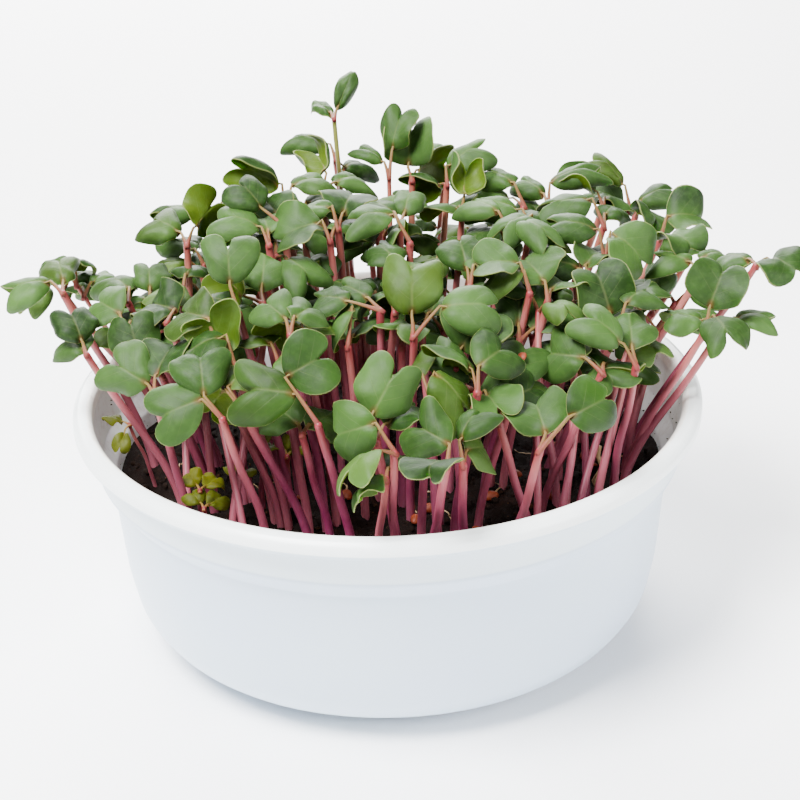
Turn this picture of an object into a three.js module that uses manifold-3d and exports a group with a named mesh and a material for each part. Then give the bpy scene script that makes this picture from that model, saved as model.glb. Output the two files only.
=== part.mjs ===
// Radish microgreens growing in a round plastic bowl of potting soil.
// Millimetres, +Z up, origin at the middle of the underside of the bowl.
// The bowl and the soil are one solid each.  The pink stems of a sector grow from one root mat,
// and each green node is a head of two notched seed leaves, or several heads that grew together.
import * as THREE from 'three';
import { mergeVertices } from 'three/addons/utils/BufferGeometryUtils.js';
import Module from 'manifold-3d';

const wasm = await Module();
wasm.setup();
const { Manifold, Mesh: SolidMesh } = wasm;
const V = (x, y, z) => new THREE.Vector3(x, y, z);
const radians = THREE.MathUtils.degToRad;

// ---- driving dimensions ----
const RIM_HEIGHT = 60.6;
const WALL = 1.3;
const ROUND_SIDES = 36;
const GAP = 0.3; // air kept between two nodes

const SOIL_LEVEL = 40;
const SOIL_MOUND = 1.6; // how far the surface rises and falls
const SOIL_SIDES = 24;
const HOLE_RADIUS = 2.1;
const HOLE_SIDES = 4;

const MAT_FLOOR = WALL + 0.4;
const MAT_THICK = 1.9;
const MAT_RADIUS = 43;
const STEM_NODES = 6;
const ROOT_START = 1.2; // the stem widens to its root this far under the soil's surface

const STEM_RADIUS = 1.0;
const STEM_SIDES = 4;
const STEM_STEPS = 4; // straight lengths above the soil
const STALK_LENGTH = 5.2; // the leaf stalk, from the joint to the blade
const STALK_WIDTH = 1.5;
const STALK_THICK = 1.1;

const BLADE_LENGTH = 11.2;
const BLADE_THICK = 0.62;
const CANOPY_TOP = 98; // height of the leaf canopy over the middle of the bowl
const CANOPY_FALL = 11; // it falls by this much at CANOPY_EDGE from the axis
const CANOPY_EDGE = 60;
const CANOPY_LEAN = 0.16; // and it rises towards the back

const LEAF_NODES = 52;
const HEADS_PER_NODE = 2;
const SPROUTS = 67;
const BACK_SPROUTS = 6; // of these, set by rule in the bare places of the back half
const CLEAR = 2.1; // least distance between the middle surfaces of two nodes

// ---- the planting sheet ----
// Where the sprouts stand is drawn on a sheet 800 units square, seen by an eye in front of the bowl
// and above its rim.  A sheet point is a line of sight, and the canopy's height gives the depth.
const SHEET_MIDDLE = 400;
const SHEET_FOCUS = 2032.7; // sheet units per unit of slope
const EYE_DISTANCE = 487.5; // from the middle of the rim
const EYE_LIFT = radians(26.27);
const EYE_ROLL = radians(-1.7);
const EYE_SIDEWAYS = 3.08;
const EYE_DOWN = 3.3;

const eyeForward = V(0, Math.cos(EYE_LIFT), -Math.sin(EYE_LIFT));
const eyeUpright = V(0, Math.sin(EYE_LIFT), Math.cos(EYE_LIFT));
const eyeRight = V(Math.cos(EYE_ROLL), 0, 0).addScaledVector(eyeUpright, Math.sin(EYE_ROLL));
const eyeUp = V(-Math.sin(EYE_ROLL), 0, 0).addScaledVector(eyeUpright, Math.cos(EYE_ROLL));
const eye = V(0, 0, RIM_HEIGHT)
  .addScaledVector(eyeForward, -EYE_DISTANCE)
  .addScaledVector(eyeRight, EYE_SIDEWAYS)
  .addScaledVector(eyeUp, -EYE_DOWN);

function sightLine(u, v) {
  return eyeForward.clone()
    .addScaledVector(eyeRight, (u - SHEET_MIDDLE) / SHEET_FOCUS)
    .addScaledVector(eyeUp, (SHEET_MIDDLE - v) / SHEET_FOCUS);
}

function canopyHeight(x, y) {
  return CANOPY_TOP + CANOPY_LEAN * y - CANOPY_FALL * (x * x + y * y) / CANOPY_EDGE ** 2;
}

const BACK_ROW = 50; // sprouts seen above the canopy's far edge stand this far behind the axis
const SIGHT_START = 350;
const SIGHT_END = 560;
const SIGHT_STEP = 0.5;

function onDepth(sight, y) {
  return eye.clone().addScaledVector(sight, (y - eye.y) / sight.y);
}

function onCanopy(sight, lower) {
  for (let far = SIGHT_START; far < SIGHT_END; far += SIGHT_STEP) {
    const point = eye.clone().addScaledVector(sight, far);
    if (point.y > BACK_ROW) break;
    if (point.z < canopyHeight(point.x, point.y) - lower) return point;
  }
  return onDepth(sight, BACK_ROW);
}

// ---- the sprouts ----
const FAR_SHEET = 300; // above this line of the sheet the leaves lie flatter:
const FAR_FACING = 0.5; // they face the eye by this share of what their row says
const SLENDER = 0.65; // stem radius of a sprout with slim leaves, against the others

// at: the joint where the two leaf stalks part.  a, b: each leaf's notch (u, v), how squarely its
// upper face looks at the eye (1 squarely, 0 straight up, below 0 its underside), and where its
// blade begins (u, v).  y: depth behind the axis.  low: how far under the canopy, in millimetres.
// foot: where the stem seems to leave the soil, on the sheet.  size, slim: scale of the leaves.
// curl: scale of their bend.
const SPROUT_ROWS = [
  { at: [318, 424], a: [247, 388, 0.7, 297, 394], b: [321, 357, 0.95, 285, 377], foot: 352 },
  { at: [376, 440], a: [394, 374, 1, 371, 416], b: [414, 406, 0.3, 384, 424], foot: 400 },
  { at: [394, 452], a: [340, 434, 1, 376, 423], b: [351, 471, -0.4, 376, 450], foot: 392 },
  { at: [447, 464], a: [419, 427, 1, 450, 445], b: [427, 468, -0.3, 443, 460], foot: 431 },
  { at: [463, 464], a: [477, 413, -0.2, 459, 440], b: [486, 450, 0.7, 467, 450], foot: 466, size: 0.85 },
  { at: [540, 450], a: [604, 400, 1, 569, 417], b: [538, 402, 0.95, 547, 434], foot: 516 },
  { at: [499, 422], a: [478, 390, 0.5, 501, 398], b: [538, 386, 0.9, 505, 401], foot: 532 },
  { at: [636, 366], a: [634, 319, 1, 634, 347], b: [592, 317, 0.35, 624, 344], foot: 658 },
  { at: [222, 418], a: [199, 358, 0.9, 204, 396], b: [163, 415, 0.7, 202, 399], foot: 268 },
  { at: [154, 394], a: [111, 363, 1, 145, 384], b: [168, 345, -0.3, 153, 375], foot: 190 },
  { at: [62, 292], a: [10, 286, 0.4, 48, 280], b: [50, 256, 0.8, 60, 280], y: -2, foot: 118 },
  { at: [757, 264], a: [784, 272, 0.5, 763, 259], b: [733, 252, 0.3, 752, 257], y: -8, foot: 632 },
  { at: [706, 328], a: [725, 271, 1, 711, 308], b: [719, 336, 0.6, 710, 316], y: -10, foot: 655 },
  { at: [187, 244], a: [149, 218, 0.8, 179, 231], b: [210, 202, -0.6, 192, 227], y: 12, foot: 200 },
  { at: [334, 118], a: [348, 78, 2, 336, 107], b: [316, 97, 0.6, 330, 109], slim: 0.45, curl: 0.4 },
  { at: [336, 160], a: [296, 136, 0.5, 330, 143], b: [363, 158, 0.5, 343, 164] },
  { at: [262, 302], a: [262, 257, 0.9, 260, 288], b: [218, 272, -0.6, 245, 296], foot: 300 },
  { at: [238, 312], a: [228, 247, 0.95, 230, 286], b: [198, 299, 0.1, 230, 302] },
  { at: [162, 376], a: [130, 324, 0.9, 141, 360], b: [176, 356, 0.3, 158, 366], foot: 214 },
  { at: [520, 340], a: [522, 287, 1, 520, 325], b: [562, 306, 0.5, 534, 328], low: 8, size: 1.15 },
  { at: [414, 336], a: [412, 270, 0.9, 412, 316], b: [486, 305, 0.5, 440, 306] },
  { at: [380, 310], a: [342, 283, 0.95, 368, 297], b: [318, 297, 0.8, 348, 301] },
  { at: [618, 330], a: [598, 272, 1, 612, 314], b: [650, 290, 0.15, 626, 302] },
  { at: [290, 334], a: [264, 302, 0.7, 285, 318], b: [311, 306, 0.6, 294, 316], size: 0.8 },
  { at: [592, 290], a: [540, 259, 0.8, 580, 268], b: [603, 251, 0.5, 585, 264] },
  { at: [470, 286], a: [460, 237, 0.85, 468, 268], b: [490, 248, 0.5, 474, 264] },
  { at: [530, 292], a: [491, 276, 0.8, 524, 270], b: [484, 262, 0.5, 520, 262] },
  { at: [606, 256], a: [562, 218, 0.7, 600, 226], b: [650, 264, 0.6, 612, 228] },
  { at: [660, 240], a: [702, 215, 0.85, 667, 215], b: [684, 247, 0.1, 664, 236], y: 20 },
  { at: [604, 226], a: [538, 205, 0.5, 592, 198], b: [620, 205, 0.5, 606, 212] },
  { at: [548, 206], a: [587, 166, 0.4, 550, 182], b: [524, 175, 0.5, 545, 192] },
  { at: [630, 208], a: [602, 159, 0.3, 625, 185], b: [597, 190, 0.6, 627, 202], y: 40, slim: 0.7 },
  { at: [447, 184], a: [477, 146, 0.5, 446, 165], b: [420, 178, -0.6, 442, 182] },
  { at: [389, 176], a: [361, 146, 0.15, 384, 160], b: [400, 115, 0.3, 392, 150], slim: 0.6 },
  { at: [285, 212], a: [244, 166, -0.6, 282, 184], b: [320, 176, 0.3, 292, 184] },
  { at: [282, 224], a: [242, 186, 0.8, 264, 210], b: [262, 198, 0.6, 277, 214] },
  { at: [278, 256], a: [240, 238, 0.7, 276, 238], b: [312, 280, 0.3, 288, 258] },
  { at: [697, 276], a: [728, 254, 0.4, 702, 258], b: [663, 255, 0.4, 692, 262], y: 5 },
  { at: [302, 222], a: [268, 193, 0.4, 298, 200], b: [333, 195, 0.4, 306, 200] },
  { at: [524, 206], a: [489, 168, 0.6, 514, 182], b: [478, 188, 0.3, 514, 196] },
  { at: [477, 392], a: [505, 348, 0.8, 478, 367], b: [449, 354, -0.5, 472, 370], low: 3 },
  { at: [456, 366], a: [487, 313, 0.6, 460, 350], b: [438, 342, 0.3, 452, 352], low: 6 },
  { at: [402, 346], a: [374, 312, 0.9, 400, 326], b: [438, 330, 0.4, 408, 342], low: 4 },
  { at: [128, 302], a: [104, 276, 0.5, 127, 286], b: [101, 292, 0.8, 124, 294] },
  { at: [166, 322], a: [145, 302, 0.5, 172, 308], b: [143, 322, 0.6, 160, 322] },
  { at: [602, 372], a: [553, 353, 0.9, 585, 357], b: [622, 362, 0.3, 606, 362], low: 4 },
  { at: [243, 411], a: [209, 404, -0.6, 225, 389], b: [247, 371, 0.4, 227, 386], foot: 310 },
  { at: [652, 312], a: [665, 267, 0.7, 655, 298], b: [630, 300, 0.6, 650, 306], y: 8 },
  { at: [386, 478], a: [404, 456, 0.2, 388, 468], b: [357, 491, 0.2, 380, 474], low: 6, foot: 374 },
  { at: [86, 354], a: [66, 312, 0.3, 80, 342], b: [60, 338, 0.6, 82, 350], y: -22 },
  { at: [412, 180], a: [412, 123, 0.4, 408, 165], b: [438, 158, -0.7, 416, 168] },
  { at: [338, 228], a: [303, 208, 0.6, 332, 206], b: [352, 190, 0.5, 342, 212] },
  { at: [410, 242], a: [358, 216, 0.6, 394, 214], b: [385, 240, 0.7, 400, 224] },
  { at: [238, 376], a: [210, 320, -0.7, 230, 354], b: [180, 361, 0.15, 226, 334], low: 3 },
  { at: [302, 434], a: [273, 408, 0.7, 297, 424], b: [330, 416, 0.6, 308, 424], low: 8, foot: 330 },
  { at: [636, 216], a: [667, 186, 0.5, 638, 200], b: [652, 224, -0.5, 638, 210], y: 34 },
  { at: [76, 284], a: [42, 263, 0.3, 68, 260], b: [84, 262, 0.2, 75, 258], y: 8, slim: 0.7 },
  { at: [152, 306], a: [147, 263, 0.5, 150, 290], b: [134, 297, 0.6, 146, 298] },
  { at: [215, 342], a: [238, 308, 0.7, 214, 322], b: [180, 312, 0.6, 208, 318] },
  { at: [462, 212], a: [466, 168, -0.6, 464, 198], b: [447, 202, 0.4, 460, 204] },
  { at: [400, 224], a: [411, 187, 0.8, 404, 212], b: [372, 198, 0.7, 394, 210] },
  { at: [530, 228], a: [483, 201, 0.5, 522, 208], b: [503, 229, 0.4, 530, 216] },
  { at: [304, 352], a: [275, 334, -0.6, 300, 328], b: [318, 322, 0.5, 306, 334], low: 3 },
  { at: [430, 396], a: [402, 376, 0.3, 422, 374], b: [464, 406, 0.2, 434, 372], low: 5 },
  { at: [548, 300], a: [527, 258, 0.8, 546, 280], b: [570, 282, 0.5, 552, 288] },
  { at: [330, 240], a: [284, 236, 0.5, 322, 220], b: [344, 222, 0.4, 334, 226] },
  { at: [125, 332], a: [93, 300, 0.8, 118, 312], b: [136, 314, 0.6, 128, 320] },
  { at: [270, 246], a: [226, 218, 0.6, 262, 228], b: [262, 216, 0.4, 268, 230] },
  { at: [228, 394], a: [222, 346, 0.5, 226, 380], b: [250, 384, 0.3, 232, 386], low: 10 },
  { at: [402, 276], a: [379, 242, 0.7, 396, 262], b: [424, 262, 0.5, 408, 266] },
  { at: [322, 190], a: [316, 150, -0.7, 326, 172], b: [358, 174, 0.5, 334, 180] },
  { at: [480, 396], a: [447, 350, 0.15, 474, 380], b: [496, 410, 0.3, 484, 390], low: 9 },
  { at: [512, 398], a: [528, 347, 0.8, 518, 378], b: [540, 380, 0.6, 520, 388], low: 9 },
  { at: [348, 346], a: [331, 328, 0.1, 352, 306], b: [366, 320, -0.5, 352, 334], low: 6 },
  { at: [603, 206], a: [565, 180, 0.3, 598, 190], b: [622, 196, 0.4, 606, 196], y: 40 },
  { at: [452, 288], a: [432, 262, -0.5, 450, 272], b: [440, 238, -0.4, 450, 264], low: 6 },
  { at: [84, 296], a: [104, 271, 0.2, 89, 281], b: [66, 286, 0.4, 80, 286], y: 12, slim: 0.6 },
  { at: [392, 306], a: [367, 291, 0.2, 386, 286], b: [404, 264, 0.3, 396, 286] },
  { at: [686, 262], a: [692, 234, 0.3, 690, 252], b: [668, 230, -0.4, 682, 250], y: 24 },
];

// ---- small tools ----
const MERGE = 1e-4;
const SLIVER = 0.004; // points that a join leaves this close to a straight edge are dropped

function solidOf(geometry) {
  const bare = geometry.clone();
  bare.deleteAttribute('normal');
  bare.deleteAttribute('uv');
  const merged = mergeVertices(bare, MERGE);
  const corners = Array.from(merged.index.array);
  const kept = [];
  for (let i = 0; i < corners.length; i += 3) {
    const [p, q, r] = corners.slice(i, i + 3);
    if (p !== q && q !== r && r !== p) kept.push(p, q, r);
  }
  const build = (list) => new Manifold(new SolidMesh({
    numProp: 3,
    vertProperties: new Float32Array(merged.attributes.position.array),
    triVerts: new Uint32Array(list),
  }));
  const solid = build(kept);
  if (solid.volume() > 0) return solid;
  for (let i = 0; i < kept.length; i += 3) [kept[i], kept[i + 1]] = [kept[i + 1], kept[i]];
  return build(kept);
}

// solids fused to one body: what the fusing seals inside is filled, and a loose scrap is dropped
function joined(solids) {
  const bodies = solids.reduce((sum, next) => sum.add(next)).decompose();
  return bodies.reduce((best, next) => (next.volume() > best.volume() ? next : best)).simplify(SLIVER);
}

function together(solids) {
  return solids.reduce((sum, next) => sum.add(next));
}

function seeded(seed) {
  let state = seed;
  return () => {
    state = (state + 0x6d2b79f5) | 0;
    let mix = Math.imul(state ^ (state >>> 15), 1 | state);
    mix = (mix + Math.imul(mix ^ (mix >>> 7), 61 | mix)) ^ mix;
    return ((mix ^ (mix >>> 14)) >>> 0) / 4294967296;
  };
}

// the part of direction that is square to the unit vector axis, as a unit vector
function squareTo(direction, axis) {
  return direction.clone().addScaledVector(axis, -direction.dot(axis)).normalize();
}

// a path through given points, with a ring of a tube at each of them
class Polyline extends THREE.Curve {
  constructor(points) {
    super();
    this.points = points;
  }

  getPoint(share, target = new THREE.Vector3()) {
    const place = THREE.MathUtils.clamp(share, 0, 1) * (this.points.length - 1);
    const from = Math.min(Math.floor(place), this.points.length - 2);
    return target.lerpVectors(this.points[from], this.points[from + 1], place - from);
  }

  getUtoTmapping(share) {
    return share;
  }
}

function tube(points, radius, sides) {
  const section = new THREE.Shape();
  for (let i = 0; i < sides; i++) {
    const turn = 2 * Math.PI * (i + 0.5) / sides;
    if (i === 0) section.moveTo(radius * Math.cos(turn), radius * Math.sin(turn));
    else section.lineTo(radius * Math.cos(turn), radius * Math.sin(turn));
  }
  section.closePath();
  const options = { steps: points.length - 1, bevelEnabled: false, extrudePath: new Polyline(points) };
  return solidOf(new THREE.ExtrudeGeometry(section, options));
}

// ---- bowl ----
// The lip is a flat band round the rim; under it the wall is a lid seat that steps in to a rounded body.
const BOWL_OUTSIDE = [
  [0, 0], [47, 0], [53.5, 2.6], [60, 6.6], [63.4, 11.8], [65.2, 21], [66.7, 38.5], [67.2, 43],
  [70.2, 47], [71.6, 56.2], [74.2, 56.2], [75, 57.2], [75, 59.4], [73.8, 60.6],
];
const BOWL_INSIDE = [
  [71.4, 60.6], [70.4, 59.6], [70.1, 56.2], [68.9, 47.6], [65.9, 43.6], [65.4, 38.5],
  [63.9, 21], [62.2, 12.4], [59.1, 7.7], [53.1, 3.8], [46.8, WALL], [0, WALL],
];

function innerRadius(z) {
  for (let i = 1; i < BOWL_INSIDE.length; i++) {
    const [upperR, upperZ] = BOWL_INSIDE[i - 1];
    const [lowerR, lowerZ] = BOWL_INSIDE[i];
    if (z >= lowerZ && z <= upperZ) return lowerR + (upperR - lowerR) * (z - lowerZ) / (upperZ - lowerZ);
  }
  return BOWL_INSIDE[0][0];
}

function bowlSolid() {
  const profile = [...BOWL_OUTSIDE, ...BOWL_INSIDE].map(([r, z]) => new THREE.Vector2(r, z));
  return solidOf(new THREE.LatheGeometry(profile, ROUND_SIDES).rotateX(Math.PI / 2));
}

// ---- leaves ----
// Outline of a radish seed leaf as shares of its length: from the stalk round the right half to the
// notch, and mirrored for the left half.
const HALF_OUTLINE = [[0.1, 0.36], [0.44, 0.63], [0.84, 0.6], [1.03, 0.32]];
const NOTCH = [0.76, 0];
const BLADE_MIDDLE = [0.44, 0];
const OUTLINE = [...HALF_OUTLINE, NOTCH, ...HALF_OUTLINE.map(([x, y]) => [x, -y]).reverse()];

// The flat leaf is bent to an arc along its length (droop) and across it (roll), without stretching.
function bladePoint(blade, x, y, lift = 0) {
  const slope = blade.droop * x;
  const tilt = blade.roll * y;
  const fall = (1 - Math.cos(slope)) / blade.droop + (1 - Math.cos(tilt)) / blade.roll;
  const face = blade.normal.clone().multiplyScalar(Math.cos(slope) * Math.cos(tilt))
    .addScaledVector(blade.along, Math.sin(slope))
    .addScaledVector(blade.across, Math.sin(tilt))
    .normalize();
  return blade.base.clone()
    .addScaledVector(blade.along, Math.sin(slope) / blade.droop)
    .addScaledVector(blade.across, Math.sin(tilt) / blade.roll)
    .addScaledVector(blade.normal, -fall)
    .addScaledVector(face, lift);
}

// A leaf is one sheet with its stalk: a fan of faces round the blade's middle and two for the stalk,
// the same on both sides, closed round the edge.  The stalk starts at the joint as a bar of the given
// width that lies across the fork, and twists to the blade.
function leafSolid(joint, fork, width, blade) {
  const stalk = blade.base.clone().sub(joint).normalize();
  const stalkAcross = squareTo(fork, stalk);
  if (stalkAcross.dot(blade.across) < 0) stalkAcross.negate();
  const stalkFace = stalkAcross.clone().cross(stalk);
  const side = (lift) => {
    const stalkLift = lift * STALK_THICK / BLADE_THICK;
    const jointPoint = (share) => joint.clone()
      .addScaledVector(stalkAcross, share * width / 2)
      .addScaledVector(stalkFace, stalkLift);
    return [
      bladePoint(blade, BLADE_MIDDLE[0] * blade.length, 0, lift),
      jointPoint(-1),
      jointPoint(1),
      bladePoint(blade, 0, STALK_WIDTH / 2, stalkLift),
      ...OUTLINE.map(([x, y]) => bladePoint(blade, x * blade.length, y * blade.length * blade.slim, lift)),
      bladePoint(blade, 0, -STALK_WIDTH / 2, stalkLift),
    ];
  };
  const points = [...side(BLADE_THICK / 2), ...side(-BLADE_THICK / 2)];
  const count = points.length / 2;
  const firstNeck = 3;
  const lastNeck = count - 1;
  const sheet = [[1, 2, firstNeck], [1, firstNeck, lastNeck], [0, lastNeck, firstNeck]];
  for (let i = firstNeck; i < lastNeck; i++) sheet.push([0, i, i + 1]);
  const faces = sheet.flatMap(([p, q, r]) => [p, q, r, p + count, r + count, q + count]);
  for (let i = 1; i <= lastNeck; i++) {
    const next = i === lastNeck ? 1 : i + 1;
    faces.push(i, i + count, next + count, i, next + count, next);
  }
  const geometry = new THREE.BufferGeometry().setFromPoints(points);
  geometry.setIndex(faces);
  return solidOf(geometry);
}

// ---- heads ----
const FLAT_CURL = 1.35; // how strongly a leaf bends that lies flat, against the ranges below
const FACING_CURL = 0.7; // and one that faces the eye
const LONGEST = 1.25; // a leaf is stretched up to this to reach its notch's place on the sheet
const SLIM_LENGTH = 0.85; // a slim leaf is shorter as well
const CUP_SHARE = 0.7; // how deep a cupped leaf is, against one that is rolled down
const FORK_BACK = 0.6 * STALK_THICK; // the first stalk reaches this far past the joint
const SECOND_WIDTH = 0.8 * STALK_WIDTH;
const SIZE_RANGE = [0.93, 1.07];
const DROOP_RANGE = [0.04, 0.11]; // bend per millimetre along the blade
const ROLL_RANGE = [0.05, 0.13]; // and across it
const CUPPED_SHARE = 0.22; // so many leaves are cupped instead of rolled down

function headOf(row, crown, random) {
  const scale = SHEET_FOCUS / crown.clone().sub(eye).dot(eyeForward);
  const size = (row.size ?? 1) * THREE.MathUtils.lerp(...SIZE_RANGE, random());
  const slim = row.slim ?? 1;
  const blades = [row.a, row.b].map(([tipU, tipV, facing, baseU, baseV]) => {
    const near = tipV > row.at[1] ? -1 : 1;
    const offset = (fromU, fromV, toU, toV, length) => {
      const sideways = (toU - fromU) / scale;
      const upwards = (fromV - toV) / scale;
      const depth = Math.sqrt(Math.max(0, length * length - sideways * sideways - upwards * upwards));
      return eyeRight.clone().multiplyScalar(sideways)
        .addScaledVector(eyeUp, upwards)
        .addScaledVector(eyeForward, near * depth);
    };
    const toBase = offset(row.at[0], row.at[1], baseU, baseV, STALK_LENGTH * size);
    const turned = facing > 0 && tipV < FAR_SHEET ? FAR_FACING * facing : facing;
    const curl = (row.curl ?? 1) * THREE.MathUtils.lerp(FLAT_CURL, FACING_CURL, Math.abs(turned));
    const droop = curl * THREE.MathUtils.lerp(...DROOP_RANGE, random());
    const roll = curl * THREE.MathUtils.lerp(...ROLL_RANGE, random());
    const cupped = random() < CUPPED_SHARE;
    const length = BLADE_LENGTH * size * (slim < 1 ? SLIM_LENGTH : 1);
    const bend = droop * NOTCH[0] * length / 2; // half the turn between the blade's foot and its notch
    const reach = 2 * Math.sin(bend) / droop;
    const seen = Math.hypot(tipU - baseU, tipV - baseV) / scale;
    const stretch = THREE.MathUtils.clamp(seen / reach, 1, LONGEST);
    const chord = offset(baseU, baseV, tipU, tipV, reach * stretch).normalize();
    const looks = V(0, 0, 1 - Math.abs(turned)).addScaledVector(eyeForward, -turned);
    const face = squareTo(looks, chord);
    const along = chord.clone().multiplyScalar(Math.cos(bend)).addScaledVector(face, Math.sin(bend));
    const normal = face.multiplyScalar(Math.cos(bend)).addScaledVector(chord, -Math.sin(bend));
    return {
      base: crown.clone().add(toBase),
      along,
      normal,
      across: along.clone().cross(normal),
      length: length * stretch,
      slim,
      droop: droop / stretch,
      roll: cupped ? -CUP_SHARE * roll : roll,
    };
  });
  return { crown, blades, radius: STEM_RADIUS * (slim < 1 ? SLENDER : 1) };
}

// the second stalk starts inside the first, which reaches a little past the joint
function headSolid({ crown, blades: [first, second] }) {
  const firstWay = first.base.clone().sub(crown).normalize();
  const fork = firstWay.clone().cross(second.base.clone().sub(crown)).normalize();
  const start = crown.clone().addScaledVector(firstWay, -FORK_BACK);
  return joined([
    leafSolid(start, fork, STALK_WIDTH, first),
    leafSolid(crown, fork, SECOND_WIDTH, second),
  ]);
}

// points spread over a head, to keep it clear of the others
const PROBE_RINGS = [1, 0.64, 0.3];
const STALK_PROBES = [0.1, 0.4, 0.7, 1];

function headProbes(head) {
  const [middle] = BLADE_MIDDLE;
  const corners = [[0, 0], ...OUTLINE];
  const edge = corners.flatMap(([x, y], i) => {
    const [nextX, nextY] = corners[(i + 1) % corners.length];
    return [[x, y], [(x + nextX) / 2, (y + nextY) / 2]];
  });
  return head.blades.flatMap((blade) => [
    ...PROBE_RINGS.flatMap((ring) => edge.map(([x, y]) => bladePoint(
      blade,
      (middle + ring * (x - middle)) * blade.length,
      ring * y * blade.length * blade.slim,
    ))),
    ...STALK_PROBES.map((share) => head.crown.clone().lerp(blade.base, share)),
  ]);
}

// ---- stems ----
// a root lies this share of its head's distance from the axis, sideways and in depth
const SIDE_SPREAD = 0.72;
const DEPTH_SPREAD = 0.88;
const ROOT_LIMIT = 57;
const MAT_SHARE = 0.7;
const MAT_INNER = 9;
const MAT_MARGIN = 2;
const ROOT_TRIES = 16;
const ROOT_RING = 1.6; // further tries stand on a spiral round the first
const SPIRAL_TURN = 2.4;
const FOOT_SHEET = 500; // the feet are read along this line of the sheet
const OWN_REACH = 4.5; // near its own joint a stem may be close to its leaves
const STEM_END = STALK_THICK + GAP + 0.2; // a stem ends this far under the joint
const STEM_LOW = [0.12, 0.38]; // the low bend: shares of the stem's reach outwards and of its rise
const STEM_HIGH = 0.36; // the high bend, measured back from the top

function soilHeight(x, y) {
  return SOIL_LEVEL + SOIL_MOUND * Math.sin(0.11 * x + 1.3) * Math.cos(0.13 * y - 0.4)
    + 0.4 * SOIL_MOUND * Math.sin(0.31 * x - 0.2 * y);
}

function rootUnder(row, crown, attempt) {
  let x = SIDE_SPREAD * crown.x;
  const y = DEPTH_SPREAD * crown.y;
  if (row.foot) x = onDepth(sightLine(row.foot, FOOT_SHEET), y).x;
  const ring = ROOT_RING * Math.sqrt(attempt);
  const turn = SPIRAL_TURN * attempt;
  const root = V(x + ring * Math.cos(turn), y + ring * Math.sin(turn), 0);
  if (root.length() > ROOT_LIMIT) root.setLength(ROOT_LIMIT);
  root.z = soilHeight(root.x, root.y) - ROOT_START;
  return root;
}

function sectorOf(root) {
  const turn = Math.atan2(root.y, root.x) / (2 * Math.PI) + 1;
  return Math.floor(turn * STEM_NODES) % STEM_NODES;
}

// where the root meets the mat, kept off the edges of its sector
function rootEnd(root) {
  const width = 2 * Math.PI / STEM_NODES;
  const from = sectorOf(root) * width;
  const radius = Math.max(MAT_SHARE * Math.hypot(root.x, root.y), MAT_INNER);
  const margin = MAT_MARGIN / radius;
  let turn = Math.atan2(root.y, root.x);
  if (turn < 0) turn += 2 * Math.PI;
  turn = THREE.MathUtils.clamp(turn, from + margin, from + width - margin);
  return V(radius * Math.cos(turn), radius * Math.sin(turn), MAT_FLOOR + MAT_THICK / 2);
}

// rises nearly straight from the soil, leans out with the canopy, and ends just under its head
function stemRings(root, crown) {
  const rise = crown.clone().sub(root);
  const top = crown.clone().addScaledVector(rise.clone().normalize(), -STEM_END);
  const [outward, upward] = STEM_LOW;
  const low = root.clone().add(V(outward * rise.x, outward * rise.y, upward * rise.z));
  const high = top.clone().addScaledVector(rise, -STEM_HIGH);
  return new THREE.CubicBezierCurve3(root, low, high, top).getPoints(STEM_STEPS);
}

const PROBES_PER_LENGTH = 8;
const ROOT_PROBES = 24;

// points along a stem and its taproot
function stemProbes(rings) {
  const [root] = rings;
  return [
    ...new Polyline([rootEnd(root), root]).getPoints(ROOT_PROBES),
    ...new Polyline(rings).getPoints(STEM_STEPS * PROBES_PER_LENGTH),
  ];
}

function clearOfBowl(point, margin) {
  const radius = Math.hypot(point.x, point.y);
  if (point.z < soilHeight(point.x, point.y)) return true;
  if (point.z > RIM_HEIGHT + margin) return true;
  return radius < innerRadius(point.z) - margin;
}

const LEAF_MARGIN = 1.2; // least distance of a leaf's middle surface from the bowl's inside
const STEM_MARGIN = 1.5;

// ---- room ----
// Probes of what is already planted, in a grid of cells, each with its owner's number.
const CELL = 4;
const cells = new Map();
const cellKey = (x, y, z) => `${Math.floor(x / CELL)},${Math.floor(y / CELL)},${Math.floor(z / CELL)}`;

function remember(points, owner) {
  for (const point of points) {
    const key = cellKey(point.x, point.y, point.z);
    if (!cells.has(key)) cells.set(key, []);
    cells.get(key).push({ point, owner });
  }
}

function isClear(points, except = null) {
  for (const point of points) {
    for (let dx = -CELL; dx <= CELL; dx += CELL) {
      for (let dy = -CELL; dy <= CELL; dy += CELL) {
        for (let dz = -CELL; dz <= CELL; dz += CELL) {
          const near = cells.get(cellKey(point.x + dx, point.y + dy, point.z + dz)) ?? [];
          for (const other of near) {
            if (other.owner !== except && other.point.distanceTo(point) < CLEAR) return false;
          }
        }
      }
    }
  }
  return true;
}

function movedHead(head, shift) {
  return {
    ...head,
    crown: head.crown.clone().add(shift),
    blades: head.blades.map((blade) => ({ ...blade, base: blade.base.clone().add(shift) })),
  };
}

// finds a root from which a clear stem reaches the head, or nothing
function rooted(row, head, except) {
  const probes = headProbes(head);
  if (!probes.every((point) => clearOfBowl(point, LEAF_MARGIN))) return null;
  if (!isClear(probes, except)) return null;
  for (let attempt = 0; attempt < ROOT_TRIES; attempt++) {
    const root = rootUnder(row, head.crown, attempt);
    const rings = stemRings(root, head.crown);
    const stem = stemProbes(rings);
    const below = stem.filter((point) => point.distanceTo(head.crown) > OWN_REACH);
    const apart = below.every((point) => probes.every((other) => other.distanceTo(point) > CLEAR));
    if (apart && stem.every((point) => clearOfBowl(point, STEM_MARGIN)) && isClear(stem)) {
      return { head, probes, root, rings, stem };
    }
  }
  return null;
}

const SLIDE_STEP = 1.5;
const SLIDE_TRIES = 17;
const JOIN_TRIES = 60;
const JOIN_SIDEWAYS = 1.6;
const JOIN_DEPTH = 14;
const JOIN_REACH = 45;

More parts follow.
